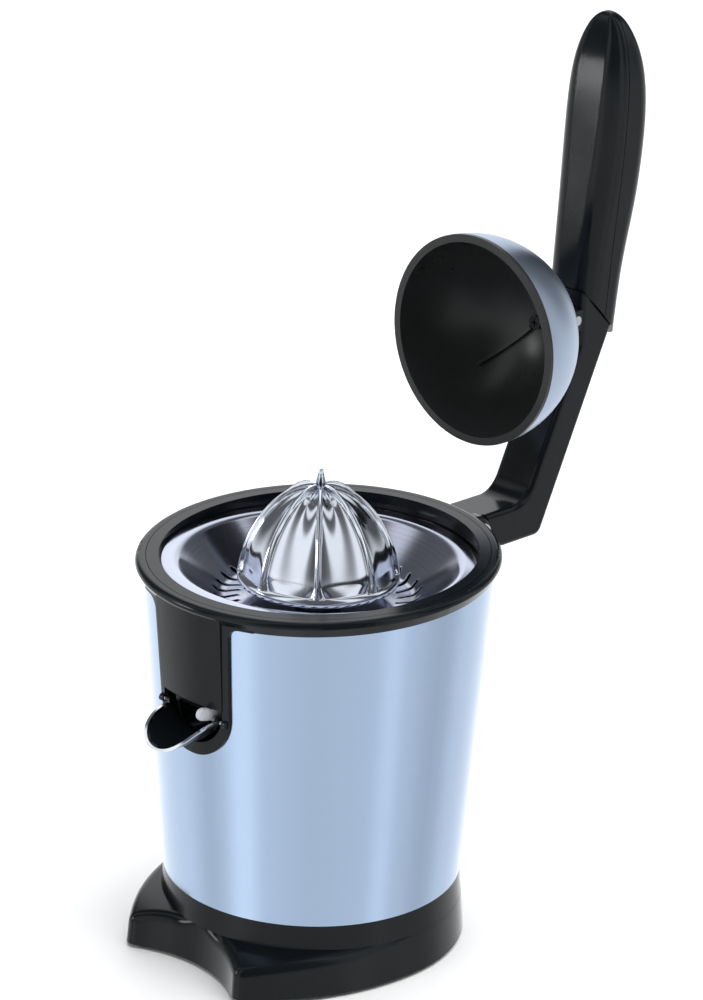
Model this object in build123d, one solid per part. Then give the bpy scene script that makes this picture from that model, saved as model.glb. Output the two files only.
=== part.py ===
from build123d import *
import math
import os

# Electric citrus juicer with a press lever, millimetres.
# The body's axis is Z, the floor is z = 0, the spout faces -Y and the lever's hinge is at +Y.

# Clearances
FIT = 0.3                 # between moulded pieces that only sit together
RUN = 0.05                # radial running clearance of a shaft
PRESS = 0.02              # radial gap of a piece pushed into its seat

# Base
FOOT_H = 2.0              # height of the rubber feet under the base
FOOT_SEAT = 1.2           # depth of a foot's seat in the moulding above it
FOOT_RING_IN = 56.0       # inner radius of the foot ring
FOOT_RING_W = 8.0         # width of the foot ring
BASE_R = 75.0             # radius of the base round its back, at the feet
BASE_H = 31.5             # from the feet's top to the sleeve's bottom edge
NECK_R = 72.0             # radius of the base at the sleeve's bottom edge
TOE_X = 38.0              # half the spread of the two toes
TOE_REACH = 86.5          # reach of the toes in front of the axis
SCOOP_REACH = 75.0        # reach of the scooped edge between the toes
TOE_ROUND = 5.5           # rounding of the toe tips in plan
TOE_H = 11.0              # height where the flare would reach its outer radius
BASE_DRAFT = 5.0          # inward draft of the base's walls, degrees
CREASE_R = 73.2           # radius of the crease under the sleeve
CREASE_DROP = 12.0        # depth of the crease under the sleeve's bottom edge
FLARE_OVER = 10.5         # the flare's outer radius passes the toes' reach by this much
FLARE_MID = 0.56          # the flare's middle, as a share of its run from the crease outward
FLARE_BULGE = 1.6         # how far the flare's middle stands above a straight slope
TOE_EDGE = 6.0            # rounding between the flare and the toes' walls
TOE_PAD_R = 5.5           # radius of the pad under each toe
CAVITY_R = 67.5           # radius of the hollow under the deck
DECK_T = 4.0              # thickness of the deck that the sleeve stands on
DECK_HOLE_R = 36.0        # hole in the deck under the motor
LIP_H = 4.5               # height of the ring that centres the sleeve
LIP_T = 2.4               # thickness of that ring
PLATE_T = 3.6             # thickness of the cover under the base
BOSS_R = 5.0              # radius of a screw boss
PLATE_SCREW_R = 50.0      # distance of the cover's screws from the axis
VENT_W = 3.0              # width of a vent slot in the cover
VENT_L = 22.0             # length of a vent slot in the cover
VENT_PITCH = 7.0          # spacing of the vent slots
VENTS = 5                 # vent slots in the cover
GLAND_R = 6.5             # radius of the cord gland's body
GLAND_FLANGE = 2.5        # how far the gland's flange stands out round its body
GLAND_Z = 14.0            # height of the cord gland above the feet's top
CORD_HOLE_R = 3.6         # hole through the cord gland

# Sleeve
SLEEVE_R_LOW = 72.2       # outer radius at the bottom edge
SLEEVE_R_HIGH = 83.2      # outer radius at the top edge
SLEEVE_H = 153.9          # height on the axis
SLEEVE_T = 0.8            # sheet thickness

# Collar
COLLAR_TILT = 2.6         # the collar rises toward the hinge, degrees
BAND_H = 7.4              # height of the collar above the sleeve
BAND_LEAN = 2.4           # how far the band leans out on its way up
BAND_OVER = 1.0           # how far the band's lower edge stands out from the sleeve
BAND_ROUND = 3.0          # rounding of the band's top outer edge
COLLAR_W = 5.0            # width of the collar's top, seen from above
SKIRT_H = 6.0             # depth of the skirt inside the sleeve
LEDGE_DROP = 6.0          # the tray's seat lies this far below the collar's top
LEDGE_W = 3.0             # width of the tray's seat

# Apron, hood and spout
APRON_W = 44.8            # width of the apron at its foot
APRON_SPREAD = 2.4        # how much wider each side is at the collar
APRON_H = 73.2            # the apron reaches this far down from the collar
APRON_T = 1.9             # how far the apron stands out from the sleeve
APRON_ROUND = 22.0        # rounding of the apron's lower corners
APRON_FLARE = 6.0         # fillet where the apron runs into the collar
FRAME_W = 3.4             # border of the apron beside its opening
FRAME_FOOT = 6.4          # border of the apron below its opening
HOOD_H = 46.4             # the hood's chin lies this far below the collar
HOOD_CHIN = 2.4           # how far the chin stands out from the sleeve
SPOUT_W = 34.4            # outer width of the spout, a half-round trough
SPOUT_REACH = 24.0        # reach of the spout in front of its pivot
SPOUT_T = 1.4             # wall of the spout
SPOUT_GAP = 0.9           # gap between the spout and the opening it tips in
SPOUT_RIM_DROP = 0.1      # the spout's rim lies this far below its pivot
SPOUT_TIP_H = 0.7         # thickness of the spout at its tip
SPOUT_BACK = 3.6          # length of the spout behind its pivot
LIP_STRIP = 1.2           # height of the bright strip on the spout's rim
TAB_R = 3.0               # half the height of the light tab on the right pivot peg
TAB_W = 2.8               # thickness of the tab
TAB_FRONT = 6.4           # the tab's round front lies this far before the pivot
TAB_BACK = 3.2            # and its round back this far behind
TAB_LIFT = 2.5            # the tab stands this far above the pivot
TAB_RISE = 14.5           # the tab rises toward the front, degrees
TAB_EDGE = 0.8            # rounding of the tab's edges
TAB_GAP = 2.2             # gap between the tab and the spout's wall
PEG_SHANK_R = 0.9         # radius of the pegs that the spout turns on
PEG_IN = 1.0              # the pivot lies this far inside the sleeve's face
PEG_RISE = 13.9           # the spout's pivot lies this far above the opening's foot
EAR_R = 1.9               # radius of the spout's ears
EAR_DROP = 4.0            # the ears' webs reach this far below the pivot
CHEEK_T = 2.4             # depth of a peg's seat in the apron

# Juice tray
TRAY_T = 1.8              # wall of the tray
TRAY_DRAW = 6.5           # the tray is this much smaller in radius at its floor
TRAY_FALL = 18.3          # fall of the tray's floor from the hub to the gutter
GUTTER_W = 6.0            # width of the flat gutter
HUB_SHELF_R = 24.0        # radius of the raised floor round the hub
HUB_R = 11.0              # outer radius of the hub
HUB_H = 30.0              # height of the hub
NOZZLE_W = 21.0           # outer width of the outlet
NOZZLE_H = 16.5           # outer height of the outlet
MOUTH_OVER = 1.0          # how far the outlet's foot reaches over the spout
MOUTH_SLANT = 4.6         # how far the outlet's top overhangs its foot
MOUTH_BULGE = 0.3         # bulge of the outlet's slanted mouth
BUSH_L = 18.0             # length of the spindle's bush
BUSH_T = 2.5              # wall of the spindle's bush
SEAL_H = 3.5              # height of the lip seal
SEAL_LIP = 0.3            # gap between the seal's lip and the spindle

# Strainer and cone
STRAINER_RISE = 2.9       # the strainer's rim stands this far above the collar's lower edge
STRAINER_T = 0.8          # sheet thickness
STRAINER_RIM_W = 7.5      # width of the flat rim
STRAINER_FLOOR_R = 46.0   # radius of the strainer's floor
STRAINER_DEPTH = 19.3     # depth of the bowl under its rim
STRAINER_HOLE_GAP = 2.5   # gap between the strainer's hole and the hub
STRAINER_HOLE_LIP = 2.5   # height of the turned-up edge of the hole
STRAINER_SLOTS = 36       # drain slots
SLOT_W = 2.0              # width of a drain slot
SLOT_L = 14.0             # length of a drain slot
SLOT_SKEW = 25.0          # slant of a drain slot, degrees
CONE_R = 38.5             # radius of the ribs at the base
CONE_H = 44.0             # height of the ribbed dome
# The dome's curve as shares of its radius and its height
DOME = ((1.0, 0.0), (0.955, 0.19), (0.83, 0.48), (0.66, 0.707), (0.37, 0.93), (0.06, 1.0))
RIBS = 8                  # ribs on the cone
RIB_W = 1.8               # thickness of a rib
RIB_PROUD = 2.4           # how far the ribs stand out of the panels
BRIM_H = 4.4              # height of the brim under the dome
BRIM_ROUND = 1.5          # rounding of the brim
SPIKE_R = 2.6             # radius of the spike's foot
SPIKE_H = 7.4             # height of the spike above the dome
CONE_WALL = 3.0           # wall of the cone
CORE_DROP = 3.6           # the core's foot reaches this far below the brim
CORE_GAP = 2.0            # gap between the core's foot and the hub when the cone is pressed
SOCKET_RISE = 13.0        # top of the core's socket above the dome's base

# Drive
SPINDLE_R = 5.0           # radius of the spindle
HEX_AF = 8.0              # across the flats of the spindle's drive ends
HEX_PLAY = 0.1            # gap across each pair of flats
SPINDLE_TOP_GAP = 1.0     # gap between the spindle's end and the socket
PRESS_TRAVEL = 2.5        # how far the spindle sinks
THRUST_R = 22.0           # radius of the thrust plate
THRUST_T = 3.0            # thickness of the thrust plate
THRUST_GAP = 1.5          # gap between the thrust plate and the tray's hub
SPRING_ROOM = 16.9        # height of the room for the spring under the thrust plate
SPRING_R = 13.5           # outer radius of the spring discs
SPRING_W = 3.6            # width of a spring disc
SPRING_T = 0.9            # thickness of a spring disc
SPRING_DISCS = 4          # discs in the stack
SWITCH_L = 20.0           # length of the microswitch
SWITCH_W = 6.5            # width of the microswitch
SWITCH_H = 10.3           # height of the microswitch
SWITCH_PIN_R = 1.5        # radius of the switch's plunger
SWITCH_AT = 18.0          # distance of the plunger from the axis

# Gear train
MODULE = 1.0              # tooth module
PINION_TEETH = 12         # on the motor's shaft
WHEEL_TEETH = 48          # larger ring of the idler
IDLER_TEETH = 15          # smaller ring of the idler
GEAR_W = 7.0              # face width of each gear
GEAR_GAP = 1.2            # gap between gears one above the other
IDLER_PIN_R = 2.5         # radius of the idler's pin
GEAR_HUB_R = 8.0          # radius of the output gear's journal

# Gearbox and motor
BOX_R = 60.0              # outer radius of the gearbox
BOX_T = 3.0               # wall of the gearbox
BOX_FLOOR_T = 4.0         # thickness of the gearbox's base plate
BOX_SCREW_R = 53.0        # distance of the gearbox's long screws from the axis
LEG_R = 5.0               # radius of the gearbox's legs
LEG_AT = 50.0             # distance of the legs from the axis
MOTOR_R = 31.0            # radius of the motor's can
MOTOR_H = 52.0            # height of the motor's can
CAN_T = 1.5               # wall of the can
CAP_H = 6.0               # height of the motor's end cap
SHAFT_R = 3.0             # radius of the motor's shaft
BEARING_R = 8.0           # radius of the motor's bearings
BEARING_W = 5.0           # width of the motor's bearings
ROTOR_R = 20.0            # radius of the rotor's core
ROTOR_H = 24.0            # height of the rotor's core
ROTOR_SLOTS = 12          # slots in the rotor's core
AIR_GAP = 1.0             # between rotor and magnets
MAGNET_T = 6.0            # thickness of the magnets
COMMUTATOR_R = 9.0        # radius of the commutator
COMMUTATOR_H = 8.0        # height of the commutator
FAN_T = 1.5               # thickness of the fan's blades
FAN_BLADES = 8            # blades of the fan
FAN_H = 5.0               # height of the fan

# Screws
SCREW_R = 2.0             # radius of a screw's shank
HEAD_R = 3.6              # radius of a screw's head
HEAD_H = 2.4              # height of a screw's head

# Lever
HINGE_OUT = 6.4           # the hinge's axis lies this far behind the collar
HINGE_DROP = 2.5          # and this far below the collar's lower edge
PIN_R = 3.6               # radius of the hinge pin
EYE_R = 7.2               # radius of the lever's eye
EYE_W = 20.0              # width of the lever's eye
HINGE_EAR_T = 6.5         # thickness of the collar's hinge ears
HINGE_EAR_R = 8.2         # radius of the collar's hinge ears
BRACKET_DROP = 14.5       # the hinge bracket's depth below the hinge axis
BUSH_WALL = 1.4           # wall of the hinge's bushes
ARM_W = 26.0              # width of the lower arm
ARM_DEPTH = 20.1          # depth of the lower arm, measured level
ARM_LEAN = 24.85          # the lower arm leans back, degrees from upright
FOOT_BACK = 55.1          # back of the lever behind the hinge, at the hinge's height
LUG_TOP = 5.7             # top of the lever's foot above the hinge
LUG_DROP = 14.0           # underside of the lever's foot below the hinge
ARM_FILLET = 14.0         # inside rounding where the arm leaves its foot
ARM_EDGE = 3.0            # rounding of the arm's long edges
ELBOW_RISE = 80.0         # height of the elbow above the hinge
SPINE_W = 14.0            # width of the spine inside the handle
SPINE_DEPTH = 13.0        # depth of the spine inside the handle
SPINE_RISE = 205.0        # top of the spine above the hinge
SPINE_SET = 13.0          # how far the spine leans back on its way up
HANDLE_RISE = 242.7       # tip of the handle above the hinge
HANDLE_CUT = 44.6         # slant of the handle's lower end, degrees
HANDLE_START = 17.8       # that end crosses the arm's middle this far above the elbow
SEAM = 0.4                # gap between the handle's two shells
HANDLE_ROUND = 0.32       # corner rounding of the handle's sections, as a share of their depth
# Rise above the hinge, set-back from the arm's middle, width and depth of the handle there
HANDLE_SECTIONS = (
    (74.0, 4.6, 27.0, 28.2),
    (90.0, 4.7, 28.0, 27.6),
    (117.0, 6.5, 30.0, 30.0),
    (149.0, 11.0, 33.0, 32.6),
    (174.0, 13.4, 35.0, 32.4),
    (199.0, 14.5, 35.0, 30.4),
    (221.0, 14.1, 30.0, 24.0),
    (234.0, 13.3, 21.0, 15.0),
    (240.5, 12.8, 11.0, 8.0),
)

# Press cup
CUP_R = 52.0              # outer radius of the dome
CUP_T = 1.0               # sheet thickness of the dome
CUP_SET = 69.7            # the open cup's pivot behind the hinge's axis
LINER_T = 2.6             # wall of the liner
LINER_RIM = 2.0           # depth of the liner's rim at the face
LINER_FINS = 2            # ribs inside the liner
FIN_TURN = 135.0          # direction of the first rib, degrees
FIN_W = 2.0               # thickness of a rib
FIN_PROUD = 2.5           # height of a rib
FIN_GAP = 0.6             # gap between the ribs and the centre screw's head
FIN_END = 0.62            # depth where the ribs end, as a share of the dome's radius
KNUCKLE_W = 12.0          # width of the cup's knuckle
KNUCKLE_R = 5.3           # radius of the cup's knuckle
KNUCKLE_OUT = 11.7        # pivot of the cup behind the dome's back
KNUCKLE_PIN_R = 2.5       # radius of the cup's pin
CUP_EAR_T = 6.0           # thickness of the lever's ears at the cup
BOSS_PLATE_R = 13.0       # radius of the plate behind the dome
BOSS_PLATE_T = 2.0        # thickness of that plate at its middle

# Heights and radii that follow
SLEEVE_Z = FOOT_H + BASE_H
COLLAR_Z = SLEEVE_Z + SLEEVE_H
DECK_Z = SLEEVE_Z - DECK_T
FLARE_R = TOE_REACH + FLARE_OVER
BAND_R = SLEEVE_R_HIGH + BAND_OVER
COLLAR_IN_R = BAND_R + BAND_LEAN - COLLAR_W
SKIRT_R = SLEEVE_R_HIGH - SLEEVE_T - 2 * FIT - SKIRT_H * math.tan(math.radians(COLLAR_TILT))
APRON_Z = COLLAR_Z - APRON_H
HOOD_Z = COLLAR_Z - HOOD_H
HOOD_MEET = 0.8 * (BAND_H - BAND_ROUND)
OPENING_W = APRON_W - 2 * FRAME_W
OPENING_Z = APRON_Z + FRAME_FOOT
SPOUT_FLOOR_Z = OPENING_Z + SPOUT_GAP
SPOUT_AXIS_Z = SPOUT_FLOOR_Z + SPOUT_W / 2
PEG_Z = OPENING_Z + PEG_RISE
PEG_Y = PEG_IN - SLEEVE_R_LOW - (PEG_Z - SLEEVE_Z) * (SLEEVE_R_HIGH - SLEEVE_R_LOW) / SLEEVE_H
SPOUT_RIM_Z = PEG_Z - SPOUT_RIM_DROP
TRAY_R = COLLAR_IN_R - LEDGE_W - 2 * FIT
TRAY_LOW_R = TRAY_R - TRAY_DRAW
TRAY_FLOOR_Z = SPOUT_FLOOR_Z + SPOUT_T + FIT
HUB_SHELF_Z = TRAY_FLOOR_Z + TRAY_FALL
HUB_TOP_Z = HUB_SHELF_Z + HUB_H
STRAINER_R = TRAY_R - TRAY_T - 4 * FIT
STRAINER_Z = COLLAR_Z + STRAINER_RISE
STRAINER_FLOOR_Z = STRAINER_Z - STRAINER_DEPTH
STRAINER_HOLE_R = HUB_R + STRAINER_HOLE_GAP
TRAY_LEDGE_Z = STRAINER_Z - STRAINER_T
CORE_Z = HUB_TOP_Z + PRESS_TRAVEL + CORE_GAP
BRIM_Z = CORE_Z + CORE_DROP
CONE_Z = BRIM_Z + BRIM_H
CORE_SOCKET_TOP = CONE_Z + SOCKET_RISE
THRUST_TOP = HUB_SHELF_Z - THRUST_GAP
THRUST_Z = THRUST_TOP - THRUST_T
COVER_TOP = THRUST_Z - SPRING_ROOM
COVER_Z = COVER_TOP - BOX_T
GEAR_2_Z = COVER_Z - GEAR_GAP - GEAR_W
GEAR_1_Z = GEAR_2_Z - GEAR_GAP - GEAR_W
BOX_FLOOR_TOP = GEAR_1_Z - GEAR_GAP
BOX_Z = BOX_FLOOR_TOP - BOX_FLOOR_T
LEG_H = BOX_Z - SLEEVE_Z
CENTRES = MODULE * (PINION_TEETH + WHEEL_TEETH) / 2
OUTPUT_TEETH = round(2 * CENTRES / MODULE) - IDLER_TEETH
SPINDLE_LOW = GEAR_2_Z + PRESS_TRAVEL + FIT
SPINDLE_TOP = CORE_SOCKET_TOP - SPINDLE_TOP_GAP
HINGE_Y = BAND_R + BAND_LEAN + HINGE_OUT
HINGE_Z = COLLAR_Z - HINGE_DROP
PIVOT_Y = HINGE_Y + CUP_SET
CUP_Y = PIVOT_Y - KNUCKLE_OUT - CUP_R
CUP_Z = HINGE_Z + HINGE_Y
BRACKET_W = EYE_W + 2 * HINGE_EAR_T + 2 * FIT
FAR = 3 * SLEEVE_R_HIGH

UP = (Align.CENTER, Align.CENTER, Align.MIN)
TILT = Pos(0, 0, COLLAR_Z) * Rot(COLLAR_TILT, 0, 0)
TILT_SLOPE = math.tan(math.radians(COLLAR_TILT))


def sleeve_r(z):
    """Outer radius of the sleeve's cone at height z."""
    return SLEEVE_R_LOW + (z - SLEEVE_Z) * (SLEEVE_R_HIGH - SLEEVE_R_LOW) / SLEEVE_H


def turned(*points):
    """Solid turned about Z from (radius, height) points."""
    return revolve(Plane.XZ * make_face(Polyline(*points, close=True)), Axis.Z)


def ring(r_in, r_out, z, height):
    """Plain ring about Z."""
    return turned((r_in, z), (r_out, z), (r_out, z + height), (r_in, z + height))


def post(r, x, y, z, height):
    """Upright cylinder with its foot at (x, y, z)."""
    return Pos(x, y, z) * Cylinder(r, height, align=UP)


def crossbar(r, x, length, y, z):
    """Cylinder along X from x."""
    return Pos(x, y, z) * Rot(0, 90, 0) * Cylinder(r, length, align=UP)


def side_plate(face, half_width):
    """A (y, z) face made a plate of even width about the middle plane."""
    return extrude(Plane.YZ * face, half_width, both=True)


def outline(*points):
    """Closed face through straight edges."""
    return make_face(Polyline(*points, close=True))


def cone_shell(out_low, out_high, z_low, z_high):
    """Shell that follows the sleeve, between two offsets from its outer face."""
    return turned(
        (sleeve_r(z_low) + out_low, z_low),
        (sleeve_r(z_low) + out_high, z_low),
        (sleeve_r(z_high) + out_high, z_high),
        (sleeve_r(z_high) + out_low, z_high),
    )


def sleeve_core(out, z_low, z_high):
    """Everything within the sleeve's outer face moved out by an offset."""
    return turned((0, z_low), (sleeve_r(z_low) + out, z_low), (sleeve_r(z_high) + out, z_high), (0, z_high))


def above_tilt(rise):
    """Everything above the collar's tilted plane, raised by rise."""
    return TILT * Pos(0, 0, rise) * Box(FAR, FAR, FAR, align=UP)


def front_prism(face):
    """A (x, z) face pushed out from the axis toward the spout."""
    return extrude(Plane.XZ * face, FAR / 2)


def ring_places(radius, count, first):
    """Places evenly spaced on a circle about Z."""
    return [Rot(0, 0, first + i * 360 / count) * Pos(radius, 0, 0) for i in range(count)]


def hexagon(across_flats):
    """Hexagon by its width across the flats."""
    return RegularPolygon(across_flats / 2, 6, major_radius=False)


def screw(length):
    """Screw with its head's top at z = 0 and its shank downward."""
    head = Pos(0, 0, -HEAD_H) * Cylinder(HEAD_R, HEAD_H, align=UP)
    shank = Pos(0, 0, -HEAD_H - length) * Cylinder(SCREW_R, length, align=UP)
    drive = Pos(0, 0, -HEAD_H / 2) * (Box(HEAD_R, HEAD_H / 4, FAR, align=UP) + Box(HEAD_H / 4, HEAD_R, FAR, align=UP))
    return head + shank - drive


def screw_group(length, places, flip=False):
    """Like screws at several places, heads down if flipped."""
    one = Rot(180, 0, 0) * screw(length) if flip else screw(length)
    return Compound(children=[place * one for place in places])


def gear_face(teeth, phase=0.0):
    """Straight-flanked gear outline, thinned for backlash, first tooth at the phase angle."""
    pitch_r = MODULE * teeth / 2
    step = 2 * math.pi / teeth
    flank = (
        (pitch_r - 1.25 * MODULE, -0.28),
        (pitch_r, -0.2),
        (pitch_r + 0.85 * MODULE, -0.09),
        (pitch_r + 0.85 * MODULE, 0.09),
        (pitch_r, 0.2),
        (pitch_r - 1.25 * MODULE, 0.28),
    )
    points = []
    for tooth in range(teeth):
        for radius, share in flank:
            angle = math.radians(phase) + (tooth + share) * step
            points.append((radius * math.cos(angle), radius * math.sin(angle)))
    return outline(*points)


# Base


def base_plan(inset):
    """Plan of the base, drawn in by inset: round back, long sides, two toes and the scoop between them."""
    side = BASE_R - inset
    toe = (TOE_X - inset / 2, inset - TOE_REACH)
    toe_left = (-toe[0], toe[1])
    back = ThreePointArc((-side, 0), (0, side), (side, 0))
    right = TangentArc((side, 0), toe, tangent=(0, -1))
    scoop = ThreePointArc(toe, (0, inset - SCOOP_REACH), toe_left)
    left = TangentArc((-side, 0), toe_left, tangent=(0, -1))
    face = make_face([back, right, scoop, left])
    return fillet(face.vertices().sort_by(Axis.Y)[:2], TOE_ROUND)


def base_places():
    """Places of the base cover's screws."""
    return ring_places(PLATE_SCREW_R, 4, 45)


def toe_places():
    """Places of the pads under the toes."""
    inward = TOE_ROUND + TOE_PAD_R
    return [Pos(side * (TOE_X - TOE_ROUND / 2), -TOE_REACH + inward, 0) for side in (-1, 1)]


def gland_place():
    """The cord gland's place at the back of the base, looking out along +Y."""
    return Pos(0, BASE_R, FOOT_H + GLAND_Z) * Rot(-90, 0, 0)


def make_base_shell():
    """Base moulding: flared walls, deck and the ring that centres the sleeve."""
    draft = BASE_H * math.tan(math.radians(BASE_DRAFT))
    block = loft([Pos(0, 0, FOOT_H) * base_plan(0), Pos(0, 0, SLEEVE_Z) * base_plan(draft)], ruled=True)
    toe_top = FOOT_H + TOE_H
    crease = (CREASE_R, SLEEVE_Z - CREASE_DROP)
    run = FLARE_R - CREASE_R
    fall = crease[1] - toe_top
    middle = (CREASE_R + FLARE_MID * run, crease[1] - FLARE_MID * fall + FLARE_BULGE)
    flare_edges = [
        Line((0, FOOT_H), (FLARE_R, FOOT_H)),
        Line((FLARE_R, FOOT_H), (FLARE_R, toe_top)),
        ThreePointArc((FLARE_R, toe_top), middle, crease),
        Line(crease, (NECK_R, SLEEVE_Z)),
        Line((NECK_R, SLEEVE_Z), (0, SLEEVE_Z)),
        Line((0, SLEEVE_Z), (0, FOOT_H)),
    ]
    flare = revolve(Plane.XZ * make_face(flare_edges), Axis.Z)
    shell = block & flare
    edges = shell.edges().filter_by(GeomType.BSPLINE)
    edges = [e for e in edges if toe_top < e.center().Z < crease[1] - FIT and e.length > 2 * TOE_ROUND]
    shell = fillet(edges, TOE_EDGE)
    lip_r = SLEEVE_R_LOW - SLEEVE_T - FIT
    shell += ring(lip_r - LIP_T, lip_r, SLEEVE_Z, LIP_H)
    shell -= post(CAVITY_R, 0, 0, FOOT_H, DECK_Z - FOOT_H)
    shell -= post(DECK_HOLE_R, 0, 0, DECK_Z, DECK_T)
    boss_z = FOOT_H + PLATE_T
    for place in base_places():
        shell += place * post(BOSS_R, 0, 0, boss_z, DECK_Z - boss_z)
        shell -= place * post(SCREW_R + PRESS, 0, 0, boss_z, DECK_Z - boss_z)
    for place in ring_places(LEG_AT, 4, 0):
        shell -= place * post(SCREW_R + FIT, 0, 0, DECK_Z, DECK_T)
    for place in toe_places():
        shell -= place * post(TOE_PAD_R + PRESS, 0, 0, FOOT_H, FOOT_SEAT)
    shell -= gland_place() * Pos(0, 0, -FAR / 4) * Cylinder(GLAND_R + PRESS, FAR / 2, align=UP)
    return shell


def make_bottom_plate():
    """Cover under the base, with vents and a groove for the foot ring."""
    plate = post(CAVITY_R - FIT, 0, 0, FOOT_H, PLATE_T)
    plate -= ring(FOOT_RING_IN - PRESS, FOOT_RING_IN + FOOT_RING_W + PRESS, FOOT_H, FOOT_SEAT)
    for i in range(VENTS):
        x = (i - (VENTS - 1) / 2) * VENT_PITCH
        plate -= Pos(x, 0, FOOT_H) * Box(VENT_W, VENT_L, PLATE_T, align=UP)
    for place in base_places():
        plate -= place * post(SCREW_R + FIT, 0, 0, FOOT_H, PLATE_T)
        plate -= place * post(HEAD_R + FIT, 0, 0, FOOT_H, HEAD_H)
    return plate


def make_foot_ring():
    """Rubber ring that the juicer stands on."""
    return ring(FOOT_RING_IN, FOOT_RING_IN + FOOT_RING_W, 0, FOOT_H + FOOT_SEAT)


def make_toe_pads():
    """Rubber pads under the toes."""
    pad = Cylinder(TOE_PAD_R, FOOT_H + FOOT_SEAT, align=UP)
    return Compound(children=[place * pad for place in toe_places()])


def make_cord_gland():
    """Grommet in the base's back wall where the mains lead enters."""
    wall = BASE_R - CAVITY_R
    body = Pos(0, 0, -wall) * Cylinder(GLAND_R, wall + GLAND_FLANGE, align=UP)
    flange = Cylinder(GLAND_R + GLAND_FLANGE, GLAND_FLANGE, align=UP)
    flange = fillet(flange.edges().group_by(Axis.Z)[-1], GLAND_FLANGE / 2)
    hole = Pos(0, 0, -wall) * Cylinder(CORD_HOLE_R, FAR, align=UP)
    seat = Pos(0, 0, SEAM) * (body + flange - hole)
    return gland_place() * seat


# Sleeve, collar and hood


def apron_half(z):
    """Half the apron's width at height z."""
    return APRON_W / 2 + APRON_SPREAD * (z - APRON_Z) / (COLLAR_Z - APRON_Z)


def opening_face(gap):
    """Outline of the apron's opening in (x, z), round at the bottom and open at the top."""
    low = OPENING_Z - gap
    high = COLLAR_Z + BAND_H + SLEEVE_R_HIGH * TILT_SLOPE
    x_low = apron_half(low) - FRAME_W + gap
    x_high = apron_half(high) - FRAME_W + gap
    face = outline((-x_low, low), (x_low, low), (x_high, high), (-x_high, high))
    return fillet(face.vertices().group_by(Axis.Y)[0], APRON_ROUND - FRAME_W)


def make_steel_sleeve():
    """Tapered sheet sleeve with its top edge cut to the collar's tilt and a notch for the spout."""
    sleeve = cone_shell(-SLEEVE_T, 0, SLEEVE_Z, COLLAR_Z + BAND_H) - above_tilt(0)
    return sleeve - front_prism(opening_face(FIT))


def apron_plan():
    """Outline of the apron in (x, z), flared where it runs into the collar."""
    high = COLLAR_Z + BAND_H / 2
    shoulder = COLLAR_Z - SLEEVE_R_HIGH * TILT_SLOPE + FIT
    x_low = apron_half(APRON_Z)
    x_high = apron_half(shoulder)
    wide = x_high + 2 * APRON_FLARE
    face = outline(
        (-x_low, APRON_Z), (x_low, APRON_Z), (x_high, shoulder), (wide, shoulder),
        (wide, high), (-wide, high), (-wide, shoulder), (-x_high, shoulder),
    )
    inner = face.vertices().sort_by_distance((x_high, shoulder))[:1]
    inner += face.vertices().sort_by_distance((-x_high, shoulder))[:1]
    face = fillet(inner, APRON_FLARE)
    return fillet(face.vertices().group_by(Axis.Y)[0], APRON_ROUND)


def make_hinge_bracket():
    """Clevis behind the collar: two ears and the floor that stops the open lever."""
    low = HINGE_Z - BRACKET_DROP
    start = COLLAR_IN_R + FIT
    face = make_face([
        Line((start, low), (HINGE_Y + HINGE_EAR_R, low)),
        Line((HINGE_Y + HINGE_EAR_R, low), (HINGE_Y + HINGE_EAR_R, HINGE_Z)),
        ThreePointArc(
            (HINGE_Y + HINGE_EAR_R, HINGE_Z),
            (HINGE_Y + HINGE_EAR_R * math.cos(math.pi / 4), HINGE_Z + HINGE_EAR_R * math.sin(math.pi / 4)),
            (HINGE_Y, HINGE_Z + HINGE_EAR_R),
        ),
        Line((HINGE_Y, HINGE_Z + HINGE_EAR_R), (start, HINGE_Z + HINGE_EAR_R)),
        Line((start, HINGE_Z + HINGE_EAR_R), (start, low)),
    ])
    bracket = side_plate(face, BRACKET_W / 2)
    edges = bracket.edges().filter_by(Axis.Z).group_by(Axis.Y)[-1]
    return fillet(edges, HINGE_EAR_T / 3)


def lever_slot():
    """Room between the hinge ears for the lever's eye, open and closed."""
    gap = EYE_W / 2 + FIT
    corner = (Align.CENTER, Align.MIN, Align.MIN)
    eye = crossbar(EYE_R + FIT, -gap, 2 * gap, HINGE_Y, HINGE_Z)
    behind = Pos(0, HINGE_Y, HINGE_Z - EYE_R - FIT) * Box(2 * gap, FAR, FAR, align=corner)
    above = Pos(0, HINGE_Y - LUG_TOP - 2 * FIT, HINGE_Z) * Box(2 * gap, FAR, FAR, align=corner)
    return eye + behind + above


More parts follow.
